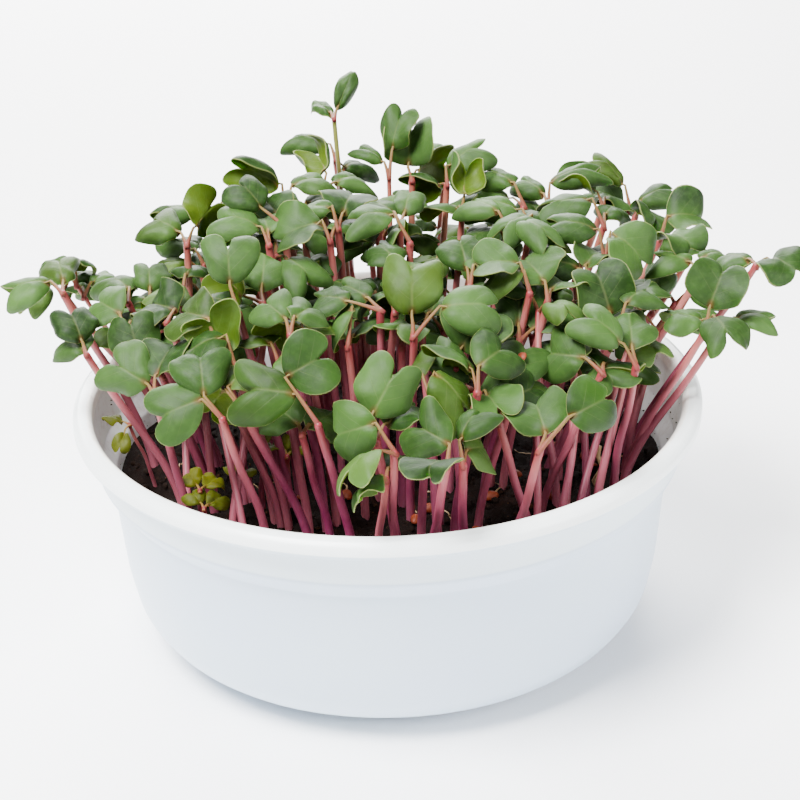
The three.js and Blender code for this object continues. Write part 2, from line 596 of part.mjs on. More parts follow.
// A head in a place of its own, slid along its line of sight until it is clear.
function plantFree(row, head, sight) {
  for (let attempt = 0; attempt < SLIDE_TRIES; attempt++) {
    const steps = attempt % 2 ? (attempt + 1) / 2 : -attempt / 2;
    const found = rooted(row, movedHead(head, sight.clone().multiplyScalar(steps * SLIDE_STEP)), null);
    if (found) return found;
  }
  return null;
}

// A head that has grown against a leaf of another node: one point of its blade lies in that leaf.
function plantJoined(row, head, sight, planted) {
  const own = headProbes(head);
  const options = [];
  const full = (owner) => planted.filter((sprout) => sprout.owner === owner).length >= HEADS_PER_NODE;
  for (const host of planted) {
    if (host.head.crown.distanceTo(head.crown) > JOIN_REACH || full(host.owner)) continue;
    for (const theirs of host.probes) {
      for (const mine of own) {
        const shift = theirs.clone().sub(mine);
        const depth = shift.dot(sight);
        const sideways = shift.clone().addScaledVector(sight, -depth).length();
        if (sideways < JOIN_SIDEWAYS && Math.abs(depth) < JOIN_DEPTH) {
          options.push({ shift, owner: host.owner, cost: Math.abs(depth) + 4 * sideways });
        }
      }
    }
  }
  options.sort((first, second) => first.cost - second.cost);
  for (const option of options.slice(0, JOIN_TRIES)) {
    const found = rooted(row, movedHead(head, option.shift), option.owner);
    if (found) return { ...found, owner: option.owner };
  }
  return null;
}

const FILL_PLACES = 160;
const FILL_TRIES = 12; // ways to turn a fill, each a little lower
const FILL_DROP = 1.8;
const FILL_RADIUS = 60;
const FILL_FRONT = 4; // fills stand behind this depth
const FILL_LIFT = 0.35; // how far a fill's leaves rise, against their reach
const FILL_STALK_LIFT = 1.1;

// a head whose two leaves spread level to both sides
function fillHead(crown, random) {
  const size = THREE.MathUtils.lerp(...SIZE_RANGE, random());
  const turn = 2 * Math.PI * random();
  const blades = [turn, turn + Math.PI].map((way) => {
    const along = V(Math.cos(way), Math.sin(way), FILL_LIFT).normalize();
    const stalk = V(Math.cos(way), Math.sin(way), FILL_STALK_LIFT).setLength(STALK_LENGTH * size);
    const normal = squareTo(V(0, 0, 1), along);
    return {
      base: crown.clone().add(stalk),
      along,
      normal,
      across: along.clone().cross(normal),
      length: BLADE_LENGTH * size,
      slim: 1,
      droop: THREE.MathUtils.lerp(...DROOP_RANGE, random()),
      roll: THREE.MathUtils.lerp(...ROLL_RANGE, random()),
    };
  });
  return { crown, blades, radius: STEM_RADIUS };
}

// the free place of the back half that is furthest from every planted head
function barestPlace(planted, tried) {
  let best = null;
  for (let i = 0; i < FILL_PLACES; i++) {
    const radius = FILL_RADIUS * Math.sqrt((i + 0.5) / FILL_PLACES);
    const x = radius * Math.cos(SPIRAL_TURN * i);
    const y = radius * Math.sin(SPIRAL_TURN * i);
    if (y < FILL_FRONT || tried.has(i)) continue;
    const room = Math.min(...planted.map(({ head }) => Math.hypot(head.crown.x - x, head.crown.y - y)));
    if (!best || room > best.room) best = { i, x, y, room };
  }
  return best;
}

function plantFill({ x, y }, random) {
  for (let attempt = 0; attempt < FILL_TRIES; attempt++) {
    const crown = V(x, y, canopyHeight(x, y) - FILL_DROP * attempt);
    const found = rooted({}, fillHead(crown, random), null);
    if (found) return found;
  }
  return null;
}

function plantAll() {
  const random = seeded(20260);
  const planted = [];
  const tried = new Set();
  let nodes = 0;
  const keep = (found) => {
    planted.push(found);
    remember(found.probes, found.owner);
    remember(found.stem, 'stem');
  };
  const rows = SPROUT_ROWS.map((row) => {
    const line = sightLine(...row.at);
    const crown = row.y === undefined ? onCanopy(line, row.low ?? 0) : onDepth(line, row.y);
    return { row, sight: line.normalize(), head: headOf(row, crown, random) };
  });
  for (const { row, sight, head } of rows) {
    while (nodes >= LEAF_NODES - BACK_SPROUTS && nodes < LEAF_NODES) {
      const place = barestPlace(planted, tried);
      if (!place) break;
      tried.add(place.i);
      const found = plantFill(place, random);
      if (found) keep({ ...found, owner: nodes++ });
    }
    if (planted.length >= SPROUTS) break;
    const alone = nodes < LEAF_NODES ? plantFree(row, head, sight) : null;
    const found = alone ?? plantJoined(row, head, sight, planted);
    if (found) keep(alone ? { ...found, owner: nodes++ } : found);
  }
  return planted;
}

// ---- soil ----
const SOIL_RINGS = [64, 52, 39, 26, 13];
const SOIL_FLOOR = MAT_FLOOR + MAT_THICK + GAP;
const SOIL_WALL_HEIGHTS = [8, 12, 21, 32, 38.5];
const SOIL_EDGE = 38.5; // from here up the soil follows its uneven surface

function soilSolid(holes) {
  const inset = (z) => innerRadius(z) * Math.cos(Math.PI / ROUND_SIDES) - GAP;
  const profile = [
    [0, SOIL_FLOOR], [inset(SOIL_FLOOR), SOIL_FLOOR],
    ...SOIL_WALL_HEIGHTS.map((z) => [inset(z), z]),
    ...SOIL_RINGS.map((r) => [Math.min(r, inset(SOIL_EDGE)), SOIL_LEVEL]), [0, SOIL_LEVEL],
  ].map(([r, z]) => new THREE.Vector2(r, z));
  const geometry = new THREE.LatheGeometry(profile, SOIL_SIDES).rotateX(Math.PI / 2);
  const place = geometry.attributes.position;
  for (let i = 0; i < place.count; i++) {
    if (place.getZ(i) > SOIL_EDGE) {
      place.setZ(i, soilHeight(place.getX(i), place.getY(i)));
    }
  }
  return solidOf(geometry).subtract(together(holes)).simplify(SLIVER);
}

// ---- roots ----
const HOLE_ABOVE = 0.16; // how far a hole's cutter runs on past the root's ends, against its length
const HOLE_BELOW = 0.3;

function matSolid(sector) {
  const width = 2 * Math.PI / STEM_NODES;
  const from = sector * width;
  const middle = from + width / 2;
  const shape = new THREE.Shape();
  shape.moveTo(0, 0);
  shape.lineTo(MAT_RADIUS * Math.cos(from), MAT_RADIUS * Math.sin(from));
  shape.absarc(0, 0, MAT_RADIUS, from, from + width, false);
  shape.closePath();
  const mat = new THREE.ExtrudeGeometry(shape, { depth: MAT_THICK, bevelEnabled: false, curveSegments: 3 });
  mat.translate(2 * GAP * Math.cos(middle), 2 * GAP * Math.sin(middle), MAT_FLOOR);
  return solidOf(mat);
}

function holeSolid(root) {
  const down = rootEnd(root).sub(root);
  const top = root.clone().addScaledVector(down, -HOLE_ABOVE);
  const bottom = root.clone().addScaledVector(down, 1 + HOLE_BELOW);
  return tube([bottom, top], HOLE_RADIUS, HOLE_SIDES);
}

// ---- the model ----
const BOWL_FINISH = { color: 0xe2e6e8, roughness: 0.38, metalness: 0 };
const SOIL_FINISH = { color: 0x1c130e, roughness: 0.95, metalness: 0 };
const STEM_FINISH = { color: 0xb0607a, roughness: 0.5, metalness: 0 };
const LEAF_FINISH = { color: 0x6f9a5c, roughness: 0.6, metalness: 0 };

const tray = new THREE.Group();

function addNode(name, solid, finish) {
  const { vertProperties, triVerts } = solid.getMesh();
  const geometry = new THREE.BufferGeometry();
  geometry.setAttribute('position', new THREE.BufferAttribute(vertProperties, 3));
  geometry.setIndex(new THREE.BufferAttribute(triVerts, 1));
  const piece = new THREE.Mesh(geometry, new THREE.MeshStandardMaterial(finish));
  piece.name = name;
  tray.add(piece);
}

const planted = plantAll();

addNode('bowl', bowlSolid(), BOWL_FINISH);
addNode('soil', soilSolid(planted.map((sprout) => holeSolid(sprout.root))), SOIL_FINISH);

for (let sector = 0; sector < STEM_NODES; sector++) {
  const grown = planted.filter((sprout) => sectorOf(sprout.root) === sector);
  const stems = grown.map((sprout) => (
    tube([rootEnd(sprout.root), ...sprout.rings], sprout.head.radius, STEM_SIDES)));
  addNode(`stems_${sector + 1}`, joined([matSolid(sector), ...stems]), STEM_FINISH);
}

const nodeCount = 1 + Math.max(...planted.map((sprout) => sprout.owner));
for (let node = 0; node < nodeCount; node++) {
  const heads = planted.filter((sprout) => sprout.owner === node);
  const name = `leaves_${String(node + 1).padStart(2, '0')}`;
  addNode(name, joined(heads.map((sprout) => headSolid(sprout.head))), LEAF_FINISH);
}

export default tray;
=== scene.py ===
"""Radish microgreens in a round plastic bowl of potting soil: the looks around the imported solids.

The bowl, the soil, the stems and the seed leaves are planted by the same rules as the solids, with
smooth finer forms, and more sprouts, soil crumbs, seed husks and rootlets are added between them.
All planting is worked out in millimetres and turned into metres where a piece is made.
"""
import math

import bpy
import numpy as np
from mathutils import Matrix, kdtree


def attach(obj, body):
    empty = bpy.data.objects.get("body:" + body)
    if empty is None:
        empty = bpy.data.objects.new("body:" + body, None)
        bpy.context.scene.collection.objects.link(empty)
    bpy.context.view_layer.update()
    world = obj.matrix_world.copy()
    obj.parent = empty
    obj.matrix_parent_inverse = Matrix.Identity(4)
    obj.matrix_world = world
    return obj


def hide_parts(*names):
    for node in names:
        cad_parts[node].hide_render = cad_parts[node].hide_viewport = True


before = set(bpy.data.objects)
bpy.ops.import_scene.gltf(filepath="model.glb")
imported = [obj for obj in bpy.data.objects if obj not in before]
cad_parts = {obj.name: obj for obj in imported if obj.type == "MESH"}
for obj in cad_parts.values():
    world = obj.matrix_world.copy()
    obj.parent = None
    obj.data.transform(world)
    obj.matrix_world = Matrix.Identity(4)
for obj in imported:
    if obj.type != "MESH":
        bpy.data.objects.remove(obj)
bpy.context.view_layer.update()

# ---- driving dimensions, in millimetres, as the solids have them ----
RIM_HEIGHT = 60.6
WALL = 1.3
GAP = 0.3
SOIL_LEVEL = 40
SOIL_MOUND = 1.6
MAT_FLOOR = WALL + 0.4
MAT_THICK = 1.9
MAT_RADIUS = 43
STEM_NODES = 6
ROOT_START = 1.2
STEM_RADIUS = 1.0
STEM_STEPS = 4
STALK_LENGTH = 5.2
STALK_THICK = 1.1
BLADE_LENGTH = 11.2
CANOPY_TOP = 98
CANOPY_FALL = 11
CANOPY_EDGE = 60
CANOPY_LEAN = 0.16
LEAF_NODES = 52
HEADS_PER_NODE = 2
SPROUTS = 67
BACK_SPROUTS = 6
CLEAR = 2.1


def vec(x, y, z):
    return np.array([x, y, z], dtype=float)


def unit(a):
    return a / np.linalg.norm(a)


def square_to(direction, axis):
    return unit(direction - axis * direction.dot(axis))


def lerp(low, high, share):
    return low + (high - low) * share


def share_of(limits, value):
    """How far a value has come between two limits, from 0 to 1."""
    return min(max((value - limits[0]) / (limits[1] - limits[0]), 0), 1)


def any_turn(random):
    return 2 * math.pi * random()


def around(radius, turn):
    return radius * math.cos(turn), radius * math.sin(turn)


def anywhere(radius, random):
    """A place drawn evenly over a round patch."""
    radius *= math.sqrt(random())
    return around(radius, any_turn(random))


# ---- the eye: the planting sheet is 800 units square, as the picture is ----
SHEET_MIDDLE = 400
SHEET_FOCUS = 2032.7
EYE_DISTANCE = 487.5
EYE_LIFT = math.radians(26.27)
EYE_ROLL = math.radians(-1.7)
EYE_SIDEWAYS = 3.08
EYE_DOWN = 3.3

eye_forward = vec(0, math.cos(EYE_LIFT), -math.sin(EYE_LIFT))
eye_upright = vec(0, math.sin(EYE_LIFT), math.cos(EYE_LIFT))
eye_right = vec(math.cos(EYE_ROLL), 0, 0) + eye_upright * math.sin(EYE_ROLL)
eye_up = vec(-math.sin(EYE_ROLL), 0, 0) + eye_upright * math.cos(EYE_ROLL)
eye = (vec(0, 0, RIM_HEIGHT) - eye_forward * EYE_DISTANCE + eye_right * EYE_SIDEWAYS
       - eye_up * EYE_DOWN)

BACK_ROW = 50
SIGHT_START = 350
SIGHT_END = 560
SIGHT_STEP = 0.5


def sight_line(u, v):
    return (eye_forward + eye_right * ((u - SHEET_MIDDLE) / SHEET_FOCUS)
            + eye_up * ((SHEET_MIDDLE - v) / SHEET_FOCUS))


def sheet_place(point):
    ray = point - eye
    far = ray.dot(eye_forward)
    return (SHEET_MIDDLE + SHEET_FOCUS * ray.dot(eye_right) / far,
            SHEET_MIDDLE - SHEET_FOCUS * ray.dot(eye_up) / far)


def canopy_height(x, y):
    return CANOPY_TOP + CANOPY_LEAN * y - CANOPY_FALL * (x * x + y * y) / CANOPY_EDGE ** 2


def on_depth(sight, y):
    return eye + sight * ((y - eye[1]) / sight[1])


def on_canopy(sight, lower):
    for far in np.arange(SIGHT_START, SIGHT_END, SIGHT_STEP):
        point = eye + sight * far
        if point[1] > BACK_ROW:
            break
        if point[2] < canopy_height(point[0], point[1]) - lower:
            return point
    return on_depth(sight, BACK_ROW)


# ---- the sprouts ----
FAR_SHEET = 300  # above this line of the sheet the leaves lie flatter
FAR_FACING = 0.5
SLENDER = 0.65  # stem radius of a sprout with slim leaves, against the others

# at: the joint where the two leaf stalks part.  a, b: each leaf's notch (u, v), how squarely its
# upper face looks at the eye (1 squarely, 0 straight up, below 0 its underside), and where its
# blade begins (u, v).  y: depth behind the axis.  low: how far under the canopy, in millimetres.
# foot: where the stem seems to leave the soil, on the sheet.  size, slim: scale of the leaves.
# curl: scale of their bend.
SPROUT_ROWS = [
    dict(at=(318, 424), a=(247, 388, 0.7, 297, 394), b=(321, 357, 0.95, 285, 377), foot=352),
    dict(at=(376, 440), a=(394, 374, 1, 371, 416), b=(414, 406, 0.3, 384, 424), foot=400),
    dict(at=(394, 452), a=(340, 434, 1, 376, 423), b=(351, 471, -0.4, 376, 450), foot=392),
    dict(at=(447, 464), a=(419, 427, 1, 450, 445), b=(427, 468, -0.3, 443, 460), foot=431),
    dict(at=(463, 464), a=(477, 413, -0.2, 459, 440), b=(486, 450, 0.7, 467, 450), foot=466,
         size=0.85),
    dict(at=(540, 450), a=(604, 400, 1, 569, 417), b=(538, 402, 0.95, 547, 434), foot=516),
    dict(at=(499, 422), a=(478, 390, 0.5, 501, 398), b=(538, 386, 0.9, 505, 401), foot=532),
    dict(at=(636, 366), a=(634, 319, 1, 634, 347), b=(592, 317, 0.35, 624, 344), foot=658),
    dict(at=(222, 418), a=(199, 358, 0.9, 204, 396), b=(163, 415, 0.7, 202, 399), foot=268),
    dict(at=(154, 394), a=(111, 363, 1, 145, 384), b=(168, 345, -0.3, 153, 375), foot=190),
    dict(at=(62, 292), a=(10, 286, 0.4, 48, 280), b=(50, 256, 0.8, 60, 280), y=-2, foot=118),
    dict(at=(757, 264), a=(784, 272, 0.5, 763, 259), b=(733, 252, 0.3, 752, 257), y=-8, foot=632),
    dict(at=(706, 328), a=(725, 271, 1, 711, 308), b=(719, 336, 0.6, 710, 316), y=-10, foot=655),
    dict(at=(187, 244), a=(149, 218, 0.8, 179, 231), b=(210, 202, -0.6, 192, 227), y=12, foot=200),
    dict(at=(334, 118), a=(348, 78, 2, 336, 107), b=(316, 97, 0.6, 330, 109), slim=0.45, curl=0.4),
    dict(at=(336, 160), a=(296, 136, 0.5, 330, 143), b=(363, 158, 0.5, 343, 164)),
    dict(at=(262, 302), a=(262, 257, 0.9, 260, 288), b=(218, 272, -0.6, 245, 296), foot=300),
    dict(at=(238, 312), a=(228, 247, 0.95, 230, 286), b=(198, 299, 0.1, 230, 302)),
    dict(at=(162, 376), a=(130, 324, 0.9, 141, 360), b=(176, 356, 0.3, 158, 366), foot=214),
    dict(at=(520, 340), a=(522, 287, 1, 520, 325), b=(562, 306, 0.5, 534, 328), low=8, size=1.15),
    dict(at=(414, 336), a=(412, 270, 0.9, 412, 316), b=(486, 305, 0.5, 440, 306)),
    dict(at=(380, 310), a=(342, 283, 0.95, 368, 297), b=(318, 297, 0.8, 348, 301)),
    dict(at=(618, 330), a=(598, 272, 1, 612, 314), b=(650, 290, 0.15, 626, 302)),
    dict(at=(290, 334), a=(264, 302, 0.7, 285, 318), b=(311, 306, 0.6, 294, 316), size=0.8),
    dict(at=(592, 290), a=(540, 259, 0.8, 580, 268), b=(603, 251, 0.5, 585, 264)),
    dict(at=(470, 286), a=(460, 237, 0.85, 468, 268), b=(490, 248, 0.5, 474, 264)),
    dict(at=(530, 292), a=(491, 276, 0.8, 524, 270), b=(484, 262, 0.5, 520, 262)),
    dict(at=(606, 256), a=(562, 218, 0.7, 600, 226), b=(650, 264, 0.6, 612, 228)),
    dict(at=(660, 240), a=(702, 215, 0.85, 667, 215), b=(684, 247, 0.1, 664, 236), y=20),
    dict(at=(604, 226), a=(538, 205, 0.5, 592, 198), b=(620, 205, 0.5, 606, 212)),
    dict(at=(548, 206), a=(587, 166, 0.4, 550, 182), b=(524, 175, 0.5, 545, 192)),
    dict(at=(630, 208), a=(602, 159, 0.3, 625, 185), b=(597, 190, 0.6, 627, 202), y=40, slim=0.7),
    dict(at=(447, 184), a=(477, 146, 0.5, 446, 165), b=(420, 178, -0.6, 442, 182)),
    dict(at=(389, 176), a=(361, 146, 0.15, 384, 160), b=(400, 115, 0.3, 392, 150), slim=0.6),
    dict(at=(285, 212), a=(244, 166, -0.6, 282, 184), b=(320, 176, 0.3, 292, 184)),
    dict(at=(282, 224), a=(242, 186, 0.8, 264, 210), b=(262, 198, 0.6, 277, 214)),
    dict(at=(278, 256), a=(240, 238, 0.7, 276, 238), b=(312, 280, 0.3, 288, 258)),
    dict(at=(697, 276), a=(728, 254, 0.4, 702, 258), b=(663, 255, 0.4, 692, 262), y=5),
    dict(at=(302, 222), a=(268, 193, 0.4, 298, 200), b=(333, 195, 0.4, 306, 200)),
    dict(at=(524, 206), a=(489, 168, 0.6, 514, 182), b=(478, 188, 0.3, 514, 196)),
    dict(at=(477, 392), a=(505, 348, 0.8, 478, 367), b=(449, 354, -0.5, 472, 370), low=3),
    dict(at=(456, 366), a=(487, 313, 0.6, 460, 350), b=(438, 342, 0.3, 452, 352), low=6),
    dict(at=(402, 346), a=(374, 312, 0.9, 400, 326), b=(438, 330, 0.4, 408, 342), low=4),
    dict(at=(128, 302), a=(104, 276, 0.5, 127, 286), b=(101, 292, 0.8, 124, 294)),
    dict(at=(166, 322), a=(145, 302, 0.5, 172, 308), b=(143, 322, 0.6, 160, 322)),
    dict(at=(602, 372), a=(553, 353, 0.9, 585, 357), b=(622, 362, 0.3, 606, 362), low=4),
    dict(at=(243, 411), a=(209, 404, -0.6, 225, 389), b=(247, 371, 0.4, 227, 386), foot=310),
    dict(at=(652, 312), a=(665, 267, 0.7, 655, 298), b=(630, 300, 0.6, 650, 306), y=8),
    dict(at=(386, 478), a=(404, 456, 0.2, 388, 468), b=(357, 491, 0.2, 380, 474), low=6, foot=374),
    dict(at=(86, 354), a=(66, 312, 0.3, 80, 342), b=(60, 338, 0.6, 82, 350), y=-22),
    dict(at=(412, 180), a=(412, 123, 0.4, 408, 165), b=(438, 158, -0.7, 416, 168)),
    dict(at=(338, 228), a=(303, 208, 0.6, 332, 206), b=(352, 190, 0.5, 342, 212)),
    dict(at=(410, 242), a=(358, 216, 0.6, 394, 214), b=(385, 240, 0.7, 400, 224)),
    dict(at=(238, 376), a=(210, 320, -0.7, 230, 354), b=(180, 361, 0.15, 226, 334), low=3),
    dict(at=(302, 434), a=(273, 408, 0.7, 297, 424), b=(330, 416, 0.6, 308, 424), low=8, foot=330),
    dict(at=(636, 216), a=(667, 186, 0.5, 638, 200), b=(652, 224, -0.5, 638, 210), y=34),
    dict(at=(76, 284), a=(42, 263, 0.3, 68, 260), b=(84, 262, 0.2, 75, 258), y=8, slim=0.7),
    dict(at=(152, 306), a=(147, 263, 0.5, 150, 290), b=(134, 297, 0.6, 146, 298)),
    dict(at=(215, 342), a=(238, 308, 0.7, 214, 322), b=(180, 312, 0.6, 208, 318)),
    dict(at=(462, 212), a=(466, 168, -0.6, 464, 198), b=(447, 202, 0.4, 460, 204)),
    dict(at=(400, 224), a=(411, 187, 0.8, 404, 212), b=(372, 198, 0.7, 394, 210)),
    dict(at=(530, 228), a=(483, 201, 0.5, 522, 208), b=(503, 229, 0.4, 530, 216)),
    dict(at=(304, 352), a=(275, 334, -0.6, 300, 328), b=(318, 322, 0.5, 306, 334), low=3),
    dict(at=(430, 396), a=(402, 376, 0.3, 422, 374), b=(464, 406, 0.2, 434, 372), low=5),
    dict(at=(548, 300), a=(527, 258, 0.8, 546, 280), b=(570, 282, 0.5, 552, 288)),
    dict(at=(330, 240), a=(284, 236, 0.5, 322, 220), b=(344, 222, 0.4, 334, 226)),
    dict(at=(125, 332), a=(93, 300, 0.8, 118, 312), b=(136, 314, 0.6, 128, 320)),
    dict(at=(270, 246), a=(226, 218, 0.6, 262, 228), b=(262, 216, 0.4, 268, 230)),
    dict(at=(228, 394), a=(222, 346, 0.5, 226, 380), b=(250, 384, 0.3, 232, 386), low=10),
    dict(at=(402, 276), a=(379, 242, 0.7, 396, 262), b=(424, 262, 0.5, 408, 266)),
    dict(at=(322, 190), a=(316, 150, -0.7, 326, 172), b=(358, 174, 0.5, 334, 180)),
    dict(at=(480, 396), a=(447, 350, 0.15, 474, 380), b=(496, 410, 0.3, 484, 390), low=9),
    dict(at=(512, 398), a=(528, 347, 0.8, 518, 378), b=(540, 380, 0.6, 520, 388), low=9),
    dict(at=(348, 346), a=(331, 328, 0.1, 352, 306), b=(366, 320, -0.5, 352, 334), low=6),
    dict(at=(603, 206), a=(565, 180, 0.3, 598, 190), b=(622, 196, 0.4, 606, 196), y=40),
    dict(at=(452, 288), a=(432, 262, -0.5, 450, 272), b=(440, 238, -0.4, 450, 264), low=6),
    dict(at=(84, 296), a=(104, 271, 0.2, 89, 281), b=(66, 286, 0.4, 80, 286), y=12, slim=0.6),
    dict(at=(392, 306), a=(367, 291, 0.2, 386, 286), b=(404, 264, 0.3, 396, 286)),
    dict(at=(686, 262), a=(692, 234, 0.3, 690, 252), b=(668, 230, -0.4, 682, 250), y=24),
]


def seeded(seed):
    """The same small random generator as the solids have, on 32-bit whole numbers."""
    mask = 0xFFFFFFFF
    state = seed

    def draw():
        nonlocal state
        state = (state + 0x6D2B79F5) & mask
        mix = ((state ^ (state >> 15)) * (1 | state)) & mask
        mix = ((mix + (((mix ^ (mix >> 7)) * (61 | mix)) & mask)) & mask) ^ mix
        return (mix ^ (mix >> 14)) / 4294967296

    return draw


# ---- bowl ----
BOWL_OUTSIDE = [
    (0, 0), (47, 0), (53.5, 2.6), (60, 6.6), (63.4, 11.8), (65.2, 21), (66.7, 38.5), (67.2, 43),
    (70.2, 47), (71.6, 56.2), (74.2, 56.2), (75, 57.2), (75, 59.4), (73.8, 60.6),
]
BOWL_INSIDE = [
    (71.4, 60.6), (70.4, 59.6), (70.1, 56.2), (68.9, 47.6), (65.9, 43.6), (65.4, 38.5),
    (63.9, 21), (62.2, 12.4), (59.1, 7.7), (53.1, 3.8), (46.8, WALL), (0, WALL),
]


def inner_radius(z):
    for (upper_r, upper_z), (lower_r, lower_z) in zip(BOWL_INSIDE, BOWL_INSIDE[1:]):
        if lower_z <= z <= upper_z:
            return lower_r + (upper_r - lower_r) * (z - lower_z) / (upper_z - lower_z)
    return BOWL_INSIDE[0][0]


# ---- heads of two leaves ----
HALF_OUTLINE = [(0.1, 0.36), (0.44, 0.63), (0.84, 0.6), (1.03, 0.32)]
NOTCH = (0.76, 0)
BLADE_MIDDLE = 0.44
FLAT_CURL = 1.35
FACING_CURL = 0.7
LONGEST = 1.25
SLIM_LENGTH = 0.85
CUP_SHARE = 0.7
SIZE_RANGE = (0.93, 1.07)
DROOP_RANGE = (0.04, 0.11)
ROLL_RANGE = (0.05, 0.13)
CUPPED_SHARE = 0.22


def blade_point(blade, x, y, lift=0.0):
    """Points of the bent leaf: x along it, y across it, and lift off its face."""
    droop, roll = blade["droop"], blade["roll"]
    slope, tilt = droop * np.asarray(x), roll * np.asarray(y)
    fall = (1 - np.cos(slope)) / droop + (1 - np.cos(tilt)) / roll
    face = (np.multiply.outer(np.cos(slope) * np.cos(tilt), blade["normal"])
            + np.multiply.outer(np.sin(slope), blade["along"])
            + np.multiply.outer(np.sin(tilt), blade["across"]))
    face /= np.linalg.norm(face, axis=-1, keepdims=True)
    return (blade["base"] + np.multiply.outer(np.sin(slope) / droop, blade["along"])
            + np.multiply.outer(np.sin(tilt) / roll, blade["across"])
            - np.multiply.outer(fall, blade["normal"]) + face * np.asarray(lift)[..., None])


def head_of(row, crown, random):
    """The crown and the two bent blades of a sprout, as the sheet shows them from the eye."""
    scale = SHEET_FOCUS / (crown - eye).dot(eye_forward)
    size = row.get("size", 1) * lerp(*SIZE_RANGE, random())
    slim = row.get("slim", 1)
    blades = []
    for tip_u, tip_v, facing, base_u, base_v in (row["a"], row["b"]):
        near = -1 if tip_v > row["at"][1] else 1

        def offset(from_u, from_v, to_u, to_v, length):
            sideways = (to_u - from_u) / scale
            upwards = (from_v - to_v) / scale
            depth = math.sqrt(max(0, length * length - sideways * sideways - upwards * upwards))
            return eye_right * sideways + eye_up * upwards + eye_forward * (near * depth)

        to_base = offset(*row["at"], base_u, base_v, STALK_LENGTH * size)
        turned = FAR_FACING * facing if facing > 0 and tip_v < FAR_SHEET else facing
        curl = row.get("curl", 1) * lerp(FLAT_CURL, FACING_CURL, abs(turned))
        droop = curl * lerp(*DROOP_RANGE, random())
        roll = curl * lerp(*ROLL_RANGE, random())
        cupped = random() < CUPPED_SHARE
        length = BLADE_LENGTH * size * (SLIM_LENGTH if slim < 1 else 1)
        bend = droop * NOTCH[0] * length / 2
        reach = 2 * math.sin(bend) / droop
        seen = math.hypot(tip_u - base_u, tip_v - base_v) / scale
        stretch = min(max(seen / reach, 1), LONGEST)
        chord = unit(offset(base_u, base_v, tip_u, tip_v, reach * stretch))
        face = square_to(vec(0, 0, 1 - abs(turned)) - eye_forward * turned, chord)
        along = chord * math.cos(bend) + face * math.sin(bend)
        normal = face * math.cos(bend) - chord * math.sin(bend)
        blades.append(dict(
            base=crown + to_base, along=along, normal=normal, across=np.cross(along, normal),
            length=length * stretch, slim=slim,
            droop=droop / stretch, roll=-CUP_SHARE * roll if cupped else roll,
        ))
    return dict(crown=crown, blades=blades, radius=STEM_RADIUS * (SLENDER if slim < 1 else 1))


PROBE_RINGS = (1, 0.64, 0.3)
STALK_PROBES = (0.1, 0.4, 0.7, 1)
edge = [(0, 0)] + HALF_OUTLINE + [NOTCH] + [(x, -y) for x, y in reversed(HALF_OUTLINE)]
edge = np.array([p for a, b in zip(edge, edge[1:] + edge[:1])
                 for p in (a, ((a[0] + b[0]) / 2, (a[1] + b[1]) / 2))])


def head_probes(head):
    out = []
    for blade in head["blades"]:
        for ring in PROBE_RINGS:
            out.append(blade_point(
                blade, (BLADE_MIDDLE + ring * (edge[:, 0] - BLADE_MIDDLE)) * blade["length"],
                ring * edge[:, 1] * blade["length"] * blade["slim"]))
        out.append(np.array([lerp(head["crown"], blade["base"], share) for share in STALK_PROBES]))
    return np.concatenate(out)


# ---- stems ----
SIDE_SPREAD = 0.72
DEPTH_SPREAD = 0.88
ROOT_LIMIT = 57
MAT_SHARE = 0.7
MAT_INNER = 9
MAT_MARGIN = 2
ROOT_TRIES = 16
ROOT_RING = 1.6
SPIRAL_TURN = 2.4
FOOT_SHEET = 500
OWN_REACH = 4.5
STEM_END = STALK_THICK + GAP + 0.2
STEM_LOW = (0.12, 0.38)
STEM_HIGH = 0.36
PROBES_PER_LENGTH = 8
ROOT_PROBES = 24
LEAF_MARGIN = 1.2
STEM_MARGIN = 1.5


def soil_height(x, y):
    return (SOIL_LEVEL + SOIL_MOUND * np.sin(0.11 * x + 1.3) * np.cos(0.13 * y - 0.4)
            + 0.4 * SOIL_MOUND * np.sin(0.31 * x - 0.2 * y))


def root_under(row, crown, attempt):
    x = SIDE_SPREAD * crown[0]
    y = row.get("depth", DEPTH_SPREAD * crown[1])
    if "foot" in row:
        x = on_depth(sight_line(row["foot"], FOOT_SHEET), y)[0]
    across, forward = around(ROOT_RING * math.sqrt(attempt), SPIRAL_TURN * attempt)
    root = vec(x + across, y + forward, 0)
    if np.linalg.norm(root) > ROOT_LIMIT:
        root *= ROOT_LIMIT / np.linalg.norm(root)
    root[2] = soil_height(root[0], root[1]) - ROOT_START
    return root


def sector_of(root):
    turn = math.atan2(root[1], root[0]) / (2 * math.pi) + 1
    return math.floor(turn * STEM_NODES) % STEM_NODES


def root_end(root):
    width = 2 * math.pi / STEM_NODES
    start = sector_of(root) * width
    radius = max(MAT_SHARE * math.hypot(root[0], root[1]), MAT_INNER)
    margin = MAT_MARGIN / radius
    turn = math.atan2(root[1], root[0])
    if turn < 0:
        turn += 2 * math.pi
    turn = min(max(turn, start + margin), start + width - margin)
    return vec(*around(radius, turn), MAT_FLOOR + MAT_THICK / 2)


def bends_of(root, crown):
    """The four control points of a stem's curve."""
    rise = crown - root
    top = crown - unit(rise) * STEM_END
    low = root + vec(STEM_LOW[0] * rise[0], STEM_LOW[0] * rise[1], STEM_LOW[1] * rise[2])
    return root, low, top - rise * STEM_HIGH, top


def bezier(bends, shares):
    t = np.asarray(shares)[:, None]
    a, b, c, d = bends
    return (1 - t) ** 3 * a + 3 * (1 - t) ** 2 * t * b + 3 * (1 - t) * t * t * c + t ** 3 * d


